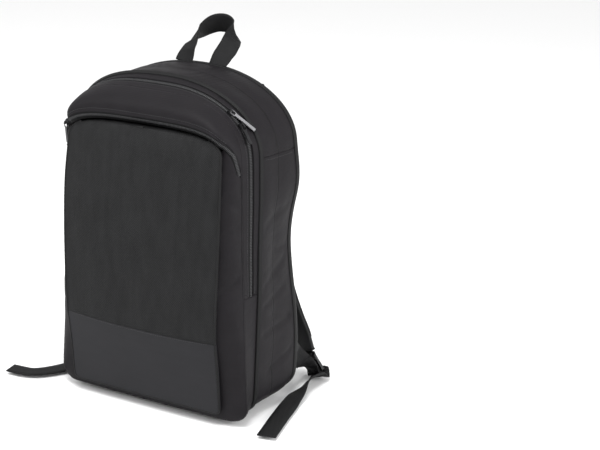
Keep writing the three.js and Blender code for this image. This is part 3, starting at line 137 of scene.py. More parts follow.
# %% A wire from one node to the next
class Wire:
    """One output of a shader node. Arithmetic on it adds Math nodes to the same material."""

    def __init__(self, tree, socket=None):
        self.tree = tree
        self.socket = socket

    def node(self, kind, settings=None, sockets=None, out=0):
        """Adds a node of a kind: its settings first, then the values or wires of its sockets."""
        made = self.tree.nodes.new(kind)
        for name, value in (settings or {}).items():
            setattr(made, name, value)
        for name, value in (sockets or {}).items():
            if isinstance(value, Wire):
                self.tree.links.new(value.socket, made.inputs[name])
            else:
                made.inputs[name].default_value = value
        return Wire(self.tree, made.outputs[out])

    def math(self, operation, first, second=0.0):
        return self.node("ShaderNodeMath", {"operation": operation}, {0: first, 1: second})

    def __add__(self, other):
        return self.math("ADD", self, other)

    def __sub__(self, other):
        return self.math("SUBTRACT", self, other)

    def __rsub__(self, other):
        return self.math("SUBTRACT", other, self)

    def __mul__(self, other):
        return self.math("MULTIPLY", self, other)

    def __truediv__(self, other):
        return self.math("DIVIDE", self, other)

    def __pow__(self, other):
        return self.math("POWER", self, other)

    __radd__ = __add__
    __rmul__ = __mul__

    def wave(self):
        """A wave from 0 to 1 that repeats each time this value grows by one."""
        return self.math("COSINE", self * (2 * math.pi)) * 0.5 + 0.5

    def ridge(self, middle, width):
        """A soft ridge of height 1 at a value, about a width wide, and 0 elsewhere."""
        away = (self - middle) / width
        return self.math("EXPONENT", away * away * -1)

    def tint(self, low, high):
        """A colour between two, by this value from 0 to 1."""
        return self.node(
            "ShaderNodeMix",
            {"data_type": "RGBA", "clamp_factor": True},
            {"Factor": self, "A": (*low, 1), "B": (*high, 1)},
            out=2,
        )


print("a wire knows:", [name for name in dir(Wire) if not name.startswith("_")])

# %% [markdown]
# ## One recipe for every finish
# Each finish is one Principled shader. What changes over the surface is its colour, its
# roughness and the fine relief that tips the light, so a finish is a function that returns these
# three for a place on the bag. The place is in metres, so that a thread is a thread's size.


# %% The recipe
RELIEF_DEPTH = 0.4 * MM


def finish(name, recipe, specular=0.3, metallic=0.0, relief=0.3):
    """A material from a recipe that gives colour, roughness and height at a place."""
    material = bpy.data.materials.new(name)
    material.use_nodes = True
    tree = material.node_tree
    shader = tree.nodes["Principled BSDF"]
    start = Wire(tree)
    place = start.node("ShaderNodeTexCoord", out=3)
    split = start.node("ShaderNodeSeparateXYZ", None, {0: place})
    x, y, z = (Wire(tree, split.socket.node.outputs[k]) for k in range(3))
    colour, roughness, height = recipe(place, x, y, z)
    tree.links.new(colour.socket, shader.inputs["Base Color"])
    tree.links.new(roughness.socket, shader.inputs["Roughness"])
    bump = start.node(
        "ShaderNodeBump", None, {"Strength": relief, "Distance": RELIEF_DEPTH, "Height": height}
    )
    tree.links.new(bump.socket, shader.inputs["Normal"])
    shader.inputs["Metallic"].default_value = metallic
    shader.inputs["Specular IOR Level"].default_value = specular
    return material


def mottle(place, size, detail=2.0):
    """Cloudy variation from 0 to 1, with clouds of about a size in metres."""
    return place.node(
        "ShaderNodeTexNoise", None, {"Vector": place, "Scale": 1 / size, "Detail": detail}
    )


def stretched(place, scale):
    """The same place with its axes scaled, so that a pattern on it is drawn out."""
    return place.node(
        "ShaderNodeVectorMath", {"operation": "MULTIPLY"}, {0: place, 1: scale}
    )


print("finishes follow one recipe")

# %% [markdown]
# ## The cloths
# The bag is made of three black nylons. The pocket's panel is a heavy dobby weave, with a raised
# thread crossing every two millimetres or so, which catches the light as rows of pale dots; the
# colour paints these dots paler, as painted sheen. The sides and the top are a satin nylon with a
# fine rib and soft creases, whose ridges are painted lighter and furrows darker, as painted shade.
# The foot of the pocket is coated, so it is smooth, a little paler and evenly matt. All three are
# nearly black: a colour that looks right as a number would look grey under the sky. An image could
# supply a weave, but waves need no picture file and stay sharp at any distance.

# %% The three nylons
DOT_PITCH = 2.3 * MM
RIB_PITCH = 1.6 * MM
SEAM_Y = 6 * MM
SEAM_WIDTH = 0.9 * MM


def dobby_recipe(place, x, y, z):
    along = (x + z) / DOT_PITCH
    across = (x - z) / DOT_PITCH
    dots_and_sheen = (along.wave() * across.wave()) ** 1.6
    thread = (z / (DOT_PITCH / 2)).wave()
    clouds = mottle(place, 60 * MM)
    wear = mottle(stretched(place, (1, 1, 0.25)), 9 * MM)
    # The raised threads' dots are painted paler here: painted sheen, beside their real relief and
    # roughness.
    shade = dots_and_sheen * (0.35 + clouds * 0.55) + wear * 0.25
    colour = shade.tint((0.0028, 0.0028, 0.0030), (0.0330, 0.0333, 0.0345))
    return colour, 0.62 - dots_and_sheen * 0.16 + clouds * 0.06, dots_and_sheen + thread * 0.12


def satin_recipe(place, x, y, z):
    rib = (z / RIB_PITCH).wave()
    pile = ((x + y) / RIB_PITCH).wave()
    clouds = mottle(place, 45 * MM)
    creases_and_shade = mottle(stretched(place, (1, 1, 2.2)), 26 * MM, 3)
    seam = y.ridge(SEAM_Y, SEAM_WIDTH)
    # The creases' noise also paints their ridges lighter and their furrows darker: painted shade
    # of the folds, beside their real relief.
    shade = clouds * 0.55 + rib * 0.16 + creases_and_shade * 0.35 - seam * 0.8
    colour = shade.tint((0.0026, 0.0022, 0.0027), (0.0105, 0.0090, 0.0110))
    height = creases_and_shade * 3.2 + rib * 0.12 + pile * 0.10 - seam * 1.6
    return colour, 0.56 + clouds * 0.12 - rib * 0.04, height


def coated_recipe(place, x, y, z):
    grain = mottle(place, 0.9 * MM)
    clouds = mottle(place, 50 * MM)
    scuffs = mottle(stretched(place, (0.3, 1, 1)), 7 * MM, 4)
    shade = clouds * 0.5 + grain * 0.3 + scuffs * 0.3
    colour = shade.tint((0.0090, 0.0089, 0.0101), (0.0190, 0.0188, 0.0211))
    return colour, 0.52 + clouds * 0.10 + grain * 0.05, grain * 0.35 + scuffs * 0.6


dobby_nylon = finish("dobby_nylon", dobby_recipe, specular=0.12, relief=0.6)
satin_nylon = finish("satin_nylon", satin_recipe, specular=0.13, relief=0.55)
coated_nylon = finish("coated_nylon", coated_recipe, specular=0.14, relief=0.35)
print("cloths:", dobby_nylon.name, satin_nylon.name, coated_nylon.name)

# %% [markdown]
# ## Tapes, padding, metal and plastic
# Webbing is a thick ribbed tape. A zip is two thin ribbed tapes with a spiral of nylon between
# them. The binding that covers the back seam is a plain tape folded over. The back has an airy
# knitted mesh over foam. The pulls are cast metal, one bright and the rest blackened, and the
# buckles are moulded nylon.

# %% Tapes and padding
WEBBING_RIB = 1.9 * MM
ZIP_TAPE_RIB = 1.2 * MM
BINDING_RIB = 1.1 * MM
STRAP_WEAVE = 1.3 * MM
MESH_PITCH = 3.4 * MM


def webbing_recipe(place, x, y, z):
    rib = ((x + y * 0.6 + z) / WEBBING_RIB).wave()
    cross = ((x - y * 0.6 - z * 0.5) / WEBBING_RIB).wave()
    clouds = mottle(place, 14 * MM)
    shade = rib * 0.35 + clouds * 0.45
    colour = shade.tint((0.0030, 0.0030, 0.0032), (0.0140, 0.0140, 0.0148))
    return colour, 0.66 + clouds * 0.08, rib + cross * 0.5


def zip_tape_recipe(place, x, y, z):
    rib = ((x + z) / ZIP_TAPE_RIB).wave()
    clouds = mottle(place, 18 * MM)
    colour = (rib * 0.3 + clouds * 0.4).tint((0.0020, 0.0020, 0.0022), (0.0090, 0.0090, 0.0096))
    return colour, 0.60 + clouds * 0.1, rib


def binding_recipe(place, x, y, z):
    rib = ((x + z) / BINDING_RIB).wave()
    clouds = mottle(place, 12 * MM)
    colour = (rib * 0.2 + clouds * 0.4).tint((0.0016, 0.0016, 0.0018), (0.0070, 0.0070, 0.0076))
    return colour, 0.55 + clouds * 0.12, rib * 0.6 + clouds


def air_mesh_recipe(place, x, y, z):
    holes = place.node(
        "ShaderNodeTexVoronoi",
        {"feature": "DISTANCE_TO_EDGE"},
        {"Vector": stretched(place, (1, 0.15, 0.85)), "Scale": 1 / MESH_PITCH, "Randomness": 0.25},
    )
    knit = holes.math("SMOOTH_MIN", holes * 4, 1.0)
    clouds = mottle(place, 40 * MM)
    # The knit's holes are painted darker than its threads: painted shade in the holes.
    shade = (1 - knit) * 0.55 + clouds * 0.3
    colour = shade.tint((0.0025, 0.0025, 0.0027), (0.0200, 0.0200, 0.0212))
    return colour, 0.72 + clouds * 0.08, (1 - knit) * 2 + clouds


def strap_recipe(place, x, y, z):
    weave = (x / STRAP_WEAVE).wave() * (z / STRAP_WEAVE).wave()
    clouds = mottle(place, 35 * MM)
    shade = clouds * 0.5 + weave * 0.2
    colour = shade.tint((0.0060, 0.0060, 0.0065), (0.0220, 0.0220, 0.0236))
    return colour, 0.60 + clouds * 0.1, weave * 0.3 + clouds * 2


webbing_tape = finish("webbing_tape", webbing_recipe, specular=0.15, relief=0.6)
zip_tape = finish("zip_tape", zip_tape_recipe, specular=0.12, relief=0.5)
binding_tape = finish("binding_tape", binding_recipe, specular=0.2, relief=0.4)
air_mesh = finish("air_mesh", air_mesh_recipe, specular=0.12, relief=0.8)
strap_cloth = finish("strap_cloth", strap_recipe, specular=0.2, relief=0.4)
print("tapes:", webbing_tape.name, zip_tape.name, binding_tape.name)

# %% [markdown]
# Small metal parts are told apart by how they mirror the room. A cast pull is brushed along its
# length and worn at its edges, so its roughness varies, and a blackened one mirrors much less.
# Moulded nylon has a fine grain, and thread has a twist.

# %% Metal, plastic and thread
THREAD_TWIST = 0.5 * MM


def bright_metal_recipe(place, x, y, z):
    brushed = mottle(stretched(place, (1, 1, 0.12)), 0.8 * MM, 3)
    worn = mottle(place, 5 * MM)
    colour = (brushed * 0.5 + worn * 0.4).tint((0.22, 0.22, 0.23), (0.62, 0.62, 0.64))
    return colour, 0.30 + brushed * 0.15, brushed


def black_metal_recipe(place, x, y, z):
    grain = mottle(place, 0.6 * MM, 3)
    worn = mottle(place, 4 * MM)
    colour = (worn * 0.6 + grain * 0.2).tint((0.006, 0.006, 0.0065), (0.040, 0.040, 0.043))
    return colour, 0.34 + grain * 0.18, grain


def moulded_recipe(place, x, y, z):
    grain = mottle(place, 0.5 * MM, 3)
    clouds = mottle(place, 12 * MM)
    colour = (clouds * 0.4 + grain * 0.3).tint((0.0025, 0.0025, 0.0028), (0.0110, 0.0110, 0.0118))
    return colour, 0.42 + grain * 0.12, grain


def thread_recipe(place, x, y, z):
    twist = ((x + y + z) / THREAD_TWIST).wave()
    clouds = mottle(place, 6 * MM)
    colour = (twist * 0.4 + clouds * 0.4).tint((0.008, 0.008, 0.0086), (0.034, 0.034, 0.037))
    return colour, 0.5 + clouds * 0.1, twist


bright_metal = finish("bright_metal", bright_metal_recipe, specular=0.5, metallic=1, relief=0.1)
black_metal = finish("black_metal", black_metal_recipe, specular=0.5, metallic=0.8, relief=0.1)
moulded_nylon = finish("moulded_nylon", moulded_recipe, specular=0.45, relief=0.15)
coil_nylon = finish("coil_nylon", thread_recipe, specular=0.5, relief=0.2)
thread = finish("thread", thread_recipe, specular=0.3, relief=0.2)
print("hard finishes:", bright_metal.name, black_metal.name, moulded_nylon.name)

# %% [markdown]
# ## From a solid to sewn cloth
# A solid's faces are flat and few. Its copy is joined back into four-sided faces, its hems are
# kept firm with a crease, and it is subdivided, so that curves become smooth while a hem stays
# sharp. Subdivision also draws a curved face inward, so its points are first moved out by about
# as much. Then the cloth is pushed about: folds where it is slack, puckers everywhere, and
# nothing near a seam, because there the thread holds it.

# %% Copying a solid and smoothing it
HEM_ANGLE = math.radians(48)
SMOOTH_ANGLE = math.radians(50)
JOIN_BEND = math.radians(40)
JOIN_CORNER = math.radians(120)
SAME_POINT = 0.02 * MM
MOST_OUTWARD = 1.2 * MM


def sharp_edges(mesh, angle):
    """Pairs of vertex numbers of the edges where two faces meet at more than an angle."""
    shape = bmesh.new()
    shape.from_mesh(mesh)
    found = [
        (edge.verts[0].index, edge.verts[1].index)
        for edge in shape.edges
        if len(edge.link_faces) == 2 and edge.calc_face_angle(0) > angle
    ]
    shape.free()
    return found


def as_modified(thing):
    """A new mesh of an object with its modifiers worked out."""
    bpy.context.view_layer.update()
    graph = bpy.context.evaluated_depsgraph_get()
    return bpy.data.meshes.new_from_object(thing.evaluated_get(graph))


def finer(mesh, levels):
    """The mesh subdivided, which rounds it."""
    rough = bpy.data.objects.new("rough", mesh)
    bpy.context.collection.objects.link(rough)
    rounding = rough.modifiers.new("rounding", "SUBSURF")
    rounding.levels = rounding.render_levels = levels
    smooth = as_modified(rough)
    bpy.data.objects.remove(rough)
    return smooth


def places_of(mesh, count):
    """The places of the first points of a mesh, one row each."""
    flat = np.empty(len(mesh.vertices) * 3)
    mesh.vertices.foreach_get("co", flat)
    return flat.reshape(-1, 3)[:count]


def smoothed_copy(node, levels):
    """A finer copy of a node's mesh, smooth where it curves and firm along its hems."""
    shape = bmesh.new()
    shape.from_mesh(nodes[node].data)
    bmesh.ops.remove_doubles(shape, verts=shape.verts, dist=SAME_POINT)
    bmesh.ops.join_triangles(
        shape,
        faces=shape.faces,
        angle_face_threshold=JOIN_BEND,
        angle_shape_threshold=JOIN_CORNER,
    )
    firm = shape.edges.layers.float.new("crease_edge")
    for edge in shape.edges:
        if len(edge.link_faces) == 2 and edge.calc_face_angle(0) > HEM_ANGLE:
            edge[firm] = 1.0
    mesh = bpy.data.meshes.new(node)
    shape.to_mesh(mesh)
    shape.free()
    count = len(mesh.vertices)
    corners = places_of(mesh, count).copy()
    outward = corners - places_of(finer(mesh, levels), count)
    length = np.linalg.norm(outward, axis=1, keepdims=True)
    corners += outward * np.minimum(1, MOST_OUTWARD / np.maximum(length, 1e-9))
    mesh.vertices.foreach_set("co", corners.ravel())
    mesh.update()
    return finer(mesh, levels)


def as_piece(name, mesh, material, stands_for=()):
    """A mesh as a piece of the bag, in its finish, riding on the bag's one body."""
    mesh.materials.clear()
    mesh.materials.append(material)
    mesh.shade_smooth()
    mesh.set_sharp_from_angle(angle=SMOOTH_ANGLE)
    piece = bpy.data.objects.new(name, mesh)
    bpy.context.collection.objects.link(piece)
    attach(piece, "root")
    if stands_for:
        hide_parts(*stands_for)
    return piece


print("points of a copy move out by up to", MOST_OUTWARD / MM, "mm")

# %% [markdown]
# ## Folds and puckers
# A fold is a soft furrow across the cloth. Each is one row of a table: where it runs, how it
# slopes, how deep and how wide it is. Between them a gentle noise, the same each time, gives the
# unevenness of cloth that was filled with paper for its photograph.

# %% The furrows of the sides
SIDE_FOLDS = [
    # side, height, slope along y, depth of fold, width, from y, to y: all lengths in mm
    (1, 64, 0.35, 1.8, 5, -10, 60),
    (1, 114, 0.10, 1.6, 4, -30, 60),
    (1, 126, -0.30, 1.6, 4, -5, 60),
    (1, 156, 0.25, 1.4, 5, -30, 40),
    (1, 190, 0.45, 1.2, 6, -30, 50),
    (1, 218, -0.20, 1.5, 5, 0, 60),
    (1, 268, 0.30, 1.0, 7, -30, 50),
    (-1, 72, -0.30, 1.6, 5, -20, 60),
    (-1, 134, 0.25, 1.6, 5, -30, 50),
    (-1, 178, -0.15, 1.4, 5, -10, 60),
    (-1, 236, 0.35, 1.4, 6, -30, 50),
]
FOLD_END = 14  # mm over which a fold runs out
PUCKER = 0.55 * MM
HALF_WIDTH = 0.15
HALF_HEIGHT = 0.24
MIDDLE_HEIGHT = 0.225
FORWARD = Vector((0, -1, 0))


def furrows(point, folds):
    """How deep the folds of a table are at a place, in metres."""
    x, y, z = (value / MM for value in point)
    deep = 0.0
    for side, height, slope, depth, width, y_from, y_to in folds:
        if side * x <= 0:
            continue
        off = (z - height - slope * (y - (y_from + y_to) / 2)) / width
        fade_in = min(1.0, max(0.0, (y - y_from) / FOLD_END))
        fade_out = min(1.0, max(0.0, (y_to - y) / FOLD_END))
        deep += depth * fade_in * fade_out * math.exp(-off * off)
    return deep * MM


def pucker(point, size, flatter=1):
    """Unevenness from about -1 to 1 with bumps of about a size, flatter than wide."""
    place = Vector((point[0], point[1], point[2] * flatter)) / size
    return noise.noise(place) + 0.4 * noise.noise(place * 2.3)


def held_by_seams(mesh, reach):
    """For each point, 0 at a hem and 1 where the cloth is free, over a reach in metres."""
    ends = sorted({index for pair in sharp_edges(mesh, HEM_ANGLE) for index in pair})
    if not ends:
        return np.ones(len(mesh.vertices))
    tree = KDTree(len(ends))
    for number, index in enumerate(ends):
        tree.insert(mesh.vertices[index].co, number)
    tree.balance()
    free = np.array([min(1.0, tree.find(vertex.co)[2] / reach) for vertex in mesh.vertices])
    return free * free * (3 - 2 * free)


def push(mesh, reach, amount, direction):
    """Moves each point of the cloth by an amount in a direction, less near the seams."""
    free = held_by_seams(mesh, reach)
    for vertex, share in zip(mesh.vertices, free):
        vertex.co += direction(vertex.co) * (amount(vertex.co) * share)
    mesh.update()


def sideways(point):
    """Out of the bag's middle, as seen from the front."""
    x = point[0] / HALF_WIDTH
    z = (point[2] - MIDDLE_HEIGHT) / HALF_HEIGHT
    return Vector((x ** 3, 0, z ** 3)).normalized()


def forward(point):
    return FORWARD


print("folds on the sides:", len(SIDE_FOLDS), "of up to", max(row[3] for row in SIDE_FOLDS), "mm")

# %% [markdown]
# ## The panels of the bag
# Each panel was cut flat and then sewn and stretched over the bag. Its flat size is written down
# beside it.

# %% Cutting list and sewing
PANELS = [
    # node, finish, slot, levels, flat width and length in metres, flat area
    ("front_panel", satin_nylon, "nylon", 3, (0.33, 0.47), 0.1256),
    ("gusset_front_strip", satin_nylon, "nylon", 2, (0.012, 0.80), 0.0091),
    ("gusset_rear_strip", satin_nylon, "nylon", 2, (0.012, 0.82), 0.0078),
    ("gusset_base", satin_nylon, "nylon", 3, (0.031, 0.64), 0.0189),
    ("expansion_gusset_top", satin_nylon, "nylon", 3, (0.085, 0.42), 0.0271),
    ("expansion_gusset_lower", satin_nylon, "nylon", 3, (0.085, 1.00), 0.0780),
    ("pocket_gusset", satin_nylon, "nylon", 3, (0.050, 0.92), 0.0300),
    ("pocket_panel", dobby_nylon, "ballistic_nylon", 3, (0.24, 0.29), 0.0675),
    ("pocket_lower_panel", coated_nylon, "coated_nylon", 3, (0.24, 0.12), 0.0265),
    ("main_zip", zip_tape, "zip_tape", 2, (0.011, 0.81), 0.0078),
    ("pocket_zip", zip_tape, "zip_tape", 2, (0.013, 0.36), 0.0039),
    ("back_pocket_zip", zip_tape, "zip_tape", 2, (0.011, 0.26), 0.0020),
]
sewn = {}

for node, cloth, slot, levels, flat, area in PANELS:
    mesh = smoothed_copy(node, levels)
    sewn[node] = as_piece(node + "_cloth", mesh, cloth, [node])
print("panels sewn:", len(sewn))

# %% [markdown]
# The wide gusset and the pocket's side are the slackest cloth on the bag, so they get the folds.
# The pocket's front only gets a slow swell, for it is stiff and was pulled tight.

# %% Slack cloth
FREE_REACH = 14 * MM
NARROW_REACH = 6 * MM
WIDE_REACH = 25 * MM

for node in ("expansion_gusset_lower", "expansion_gusset_top"):
    push(
        sewn[node].data, FREE_REACH,
        lambda point: PUCKER * pucker(point, 30 * MM, 1.6) - furrows(point, SIDE_FOLDS),
        sideways,
    )
POCKET_FOLDS = [
    # the same columns as the table of the sides
    (1, 190, 0.9, 2.6, 5, -100, -60),
    (1, 300, -0.5, 1.4, 7, -100, -60),
    (1, 262, 0.6, 1.2, 6, -100, -60),
    (1, 110, -0.7, 1.4, 7, -100, -60),
    (-1, 205, -0.8, 2.0, 6, -100, -60),
    (-1, 120, 0.7, 1.4, 7, -100, -60),
]
push(
    sewn["pocket_gusset"].data, NARROW_REACH,
    lambda point: PUCKER * pucker(point, 26 * MM, 1.4) - furrows(point, POCKET_FOLDS),
    sideways,
)
SWELLS = {"pocket_panel": 0.8 * MM, "pocket_lower_panel": 0.4 * MM, "front_panel": 0.7 * MM}
for node, height in SWELLS.items():
    push(
        sewn[node].data, WIDE_REACH,
        lambda point: height * pucker(point, 55 * MM),
        forward,
    )
print("deepest pocket fold:", max(row[3] for row in POCKET_FOLDS), "mm")

# %% [markdown]
# ## The welt, the binding, the tapes and the handle
# A welt is a folded strip that stands proud of a seam and hides the zip behind it. The binding is
# folded over the raw edges of the back seam. Both are sewn from narrow tape, as are the handle
# and the straps' tails, and a narrow tape keeps its edges, so they are only smoothed.

# %% Narrow pieces
NARROW = [
    # node, finish, slot, levels
    ("expansion_welt", binding_tape, "binding", 2),
    ("back_piping", binding_tape, "binding", 2),
    ("anchor_tab_right", binding_tape, "binding", 2),
    ("anchor_tab_left", binding_tape, "binding", 2),
    ("handle", webbing_tape, "webbing", 3),
    ("strap_webbing_right", webbing_tape, "webbing", 2),
    ("strap_webbing_left", webbing_tape, "webbing", 2),
    ("buckle_loop_right", webbing_tape, "webbing", 2),
    ("buckle_loop_left", webbing_tape, "webbing", 2),
]
narrow = {}
for node, tape, slot, levels in NARROW:
    mesh = smoothed_copy(node, levels)
    narrow[node] = as_piece(node + "_tape", mesh, tape, [node])

# The handle's feet go down behind the binding, where they are sewn in
HANDLE_TUCK = 5 * MM
FOOT_HEIGHT = 14 * MM
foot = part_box("handle")[0][2]
for vertex in narrow["handle"].data.vertices:
    vertex.co.z -= HANDLE_TUCK * max(0.0, 1 - (vertex.co.z - foot) / FOOT_HEIGHT)
print("narrow pieces:", len(narrow))

# %% [markdown]
# ## Padding
# The back, its pads and the shoulder straps are foam under cloth. Foam under a stretched cover
# swells between its seams, and a cloth simulation with a little air pressure finds that shape
# by itself. It is slow, so it is only used for the two loose pads on the back. The straps are
# flat and firm, and a simulation would wear their edges away, so they are smoothed directly.

# %% Pads blown up by a little pressure
PADDED = [
    # node, finish, levels, fill
    ("back_panel", air_mesh, 3, 0.7),
    ("back_pad_upper", air_mesh, 3, 0.6),
    ("back_pocket", satin_nylon, 3, 0.4),
    ("shoulder_strap_right", strap_cloth, 3, 0.7),
    ("shoulder_strap_left", strap_cloth, 3, 0.7),
]
SWOLLEN = {"back_pad_upper": 3.0 * MM, "back_pocket": 3.0 * MM}
VOXEL = 5 * MM
AIR_PRESSURE = 4
FRAMES = 20


def blown_up(mesh, most):
    """The mesh swollen by air pressure in a cloth simulation, no point further than most."""
    pad = bpy.data.objects.new("pad", mesh)
    bpy.context.collection.objects.link(pad)
    remesh = pad.modifiers.new("even", "REMESH")
    remesh.mode = "VOXEL"
    remesh.voxel_size = VOXEL
    even = as_modified(pad)
    pad.modifiers.clear()
    pad.data = even
    start = np.array([vertex.co for vertex in even.vertices])
    cover = pad.modifiers.new("cover", "CLOTH")
    cover.settings.use_pressure = True
    cover.settings.uniform_pressure_force = AIR_PRESSURE
    cover.settings.effector_weights.gravity = 0
    scene = bpy.context.scene
    for number in range(1, FRAMES + 1):
        scene.frame_set(number)
    taut = as_modified(pad)
    scene.frame_set(1)
    bpy.data.objects.remove(pad)
    ends = np.array([vertex.co for vertex in taut.vertices])
    moved = ends - start
    length = np.linalg.norm(moved, axis=1, keepdims=True)
    ends = start + moved * np.minimum(1, most / np.maximum(length, 1e-9))
    taut.vertices.foreach_set("co", ends.ravel())
    taut.update()
    return taut


padded = {}
for node, cover, levels, fill in PADDED:
    mesh = smoothed_copy(node, levels)
    if node in SWOLLEN:
        mesh = blown_up(mesh, SWOLLEN[node])
    padded[node] = as_piece(node + "_padding", mesh, cover, [node])
print("padded pieces:", len(padded))

# %% [markdown]
# ## The zips' coils
# A coil zip's teeth are one nylon spiral. From this far it reads as a row of fine ribs, so each
# turn of the spiral is a small rounded rib that is laid along the middle of its tape. A curve
# with a bevel would be smooth, and the ribs are what makes a zip look like one.


# %% Ribs along a line
def evenly(points, pitch):
    """Places along a line of points, a pitch apart, each with its direction."""
    ends = [Vector(point) for point in points]
    places = []
    left = 0.0
    for start, end in zip(ends, ends[1:]):
        length = (end - start).length
        step = left
        while step < length:
            places.append((start.lerp(end, step / length), (end - start).normalized()))
            step += pitch
        left = step - length
    return places


def curve_through(points, steps=6):
    """A smooth line through points, as a list of finer points."""
    ends = [Vector(point) for point in points]
    fine = []
    last = len(ends) - 1
    for k in range(last):
        before, start, end, after = (ends[min(max(k + step, 0), last)] for step in (-1, 0, 1, 2))
        for step in range(steps):
            t = step / steps
            fine.append(0.5 * (2 * start + (end - before) * t
                               + (2 * before - 5 * start + 4 * end - after) * t * t
                               + (3 * start - before - 3 * end + after) * t ** 3))
    fine.append(ends[-1])
    return fine


# A rib's cross-section, from one foot over its back to the other, as shares of width and height
RIB_PROFILE = [(-0.5, 0.0), (-0.42, 0.7), (-0.15, 1.0), (0.15, 1.0), (0.42, 0.7), (0.5, 0.0)]
RIB_TAPER = 0.25


def ribs(name, places, on, size, sunk, material):
    """A mesh of small rounded ribs at places, lying on a piece: size is along, across and high."""
    along, across, high = size
    shape = bmesh.new()
    for place, way in places:
        _, spot, out, _ = on.closest_point_on_mesh(place)
        side = out.cross(way).normalized()
        rings = []
        for end in (-0.5, 0.5):
            rings.append([
                shape.verts.new(spot + way * (along * end * (1 - RIB_TAPER * lift))
                                + side * (across * off) + out * (high * lift - sunk))
                for off, lift in RIB_PROFILE
            ])
        for k in range(len(RIB_PROFILE) - 1):
            shape.faces.new((rings[0][k], rings[0][k + 1], rings[1][k + 1], rings[1][k]))
        shape.faces.new(rings[0])
        shape.faces.new(rings[1])
    bmesh.ops.recalc_face_normals(shape, faces=shape.faces)
    mesh = bpy.data.meshes.new(name)
    shape.to_mesh(mesh)
    shape.free()
    return as_piece(name, mesh, material)


ARCH_MIDDLE = Vector((0, 0, 0.2))
ZIP_WALL = 4 * MM
COIL_HALF_WIDTH = 1.5 * MM


def middle_line(node):
    """The raised middle of a zip that runs round the bag, from its solid's own points."""
    low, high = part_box(node)
    middle = (low[1] + high[1]) / 2
    found = sorted(
        (math.atan2(vertex.co.x, vertex.co.z - ARCH_MIDDLE.z), vertex.co.copy())
        for vertex in nodes[node].data.vertices
        if abs(vertex.co.y - middle) < COIL_HALF_WIDTH
    )
    # Points nearer than the zip's wall face each other across it, and the outer one is kept
    line = []
    for _, point in found:
        if line and (point - line[-1]).length < ZIP_WALL:
            line[-1] = max(point, line[-1], key=lambda end: end.xz.length)
        else:
            line.append(point)
    return line


def crest(node, angles):
    """The crest of a zip that arches over the pocket, where planes at angles cut it."""
    mesh = nodes[node].data
    ends = [vertex.co - ARCH_MIDDLE for vertex in mesh.vertices]
    line = []
    for angle in angles:
        outward = Vector((math.sin(angle), 0, math.cos(angle)))
        onward = Vector((math.cos(angle), 0, -math.sin(angle)))
        cuts = []
        for edge in mesh.edges:
            start, end = (ends[index] for index in edge.vertices)
            before, after = start.dot(onward), end.dot(onward)
            if before * after < 0 and start.dot(outward) > 0:
                cuts.append(start.lerp(end, before / (before - after)))
        # The two points of the cut that are furthest apart are the tape's two edges
        one, other = max(combinations(cuts, 2), key=lambda pair: (pair[0] - pair[1]).length)
        across = (one - other).normalized()
        upward = outward + FORWARD
        upward -= across * upward.dot(across)
        line.append(ARCH_MIDDLE + max(cuts, key=upward.dot))
    return line


def straight_on(line, length):
    """The line with a straight run added at each end."""
    first = line[0] + (line[0] - line[1]).normalized() * length
    last = line[-1] + (line[-1] - line[-2]).normalized() * length
    return [first, *line, last]


POCKET_ARCH = [math.radians(degrees) for degrees in range(42, -43, -1)]
POCKET_END_RUN = 9 * MM
COIL_PITCH = 2.0 * MM
COIL_RIB = (1.3 * MM, 4.0 * MM, 0.9 * MM)
COIL_SUNK = 0.3 * MM

main_line = curve_through(middle_line("main_zip"))
pocket_line = curve_through(straight_on(crest("pocket_zip", POCKET_ARCH), POCKET_END_RUN))
main_coil = ribs(
    "main_zip_coil", evenly(main_line, COIL_PITCH), sewn["main_zip"], COIL_RIB, COIL_SUNK,
    coil_nylon,
)
pocket_coil = ribs(
    "pocket_zip_coil", evenly(pocket_line, COIL_PITCH), sewn["pocket_zip"], COIL_RIB, COIL_SUNK,
    coil_nylon,
)
print("coil faces:", len(main_coil.data.polygons), len(pocket_coil.data.polygons))

# %% [markdown]
# ## Piped edges
# The pocket's panel is edged with a thin black cord in a strip of tape, called piping. It makes
# the dark line all round the panel. The straps have it too. The cord follows the edge of the
# cloth, so its line is read from the finished cloth itself: the edges where the front turns back
# into the side, joined end to end.


# %% Cord along the edges of the cloth
TOO_NEAR = 0.01 * MM
PANEL_SEAM = 116 * MM
PIPING_RADIUS = 1.5 * MM
PIPING_OUT = 0.6 * MM
PIPING_BACK = 0.9 * MM
STRAP_PIPING_RADIUS = 1.0 * MM
TURNED_BACK = math.radians(22)
RIM_ANGLE = math.radians(30)
SHORTEST_LINE = 6
SHORTEST_RIM = 20


def edge_lines(mesh, wanted):
    """Edges of a mesh that pass a test on their two faces, joined end to end into lines."""
    shape = bmesh.new()
    shape.from_mesh(mesh)
    shape.normal_update()
    beside = {}
    for edge in shape.edges:
        if len(edge.link_faces) == 2 and wanted(edge, *edge.link_faces):
            for end, other in (edge.verts, reversed(edge.verts)):
                beside.setdefault(end.index, []).append(other.index)
    places = [vertex.co.copy() for vertex in shape.verts]
    shape.free()
    lines = []
    while beside:
        start = min((index for index in beside if len(beside[index]) == 1), default=min(beside))
        line = [start]
        while beside.get(line[-1]):
            here = line[-1]
            onward = beside[here].pop()
            beside[onward].remove(here)
            line.append(onward)
        beside = {index: rest for index, rest in beside.items() if rest}
        lines.append([places[index] for index in line])
    return lines


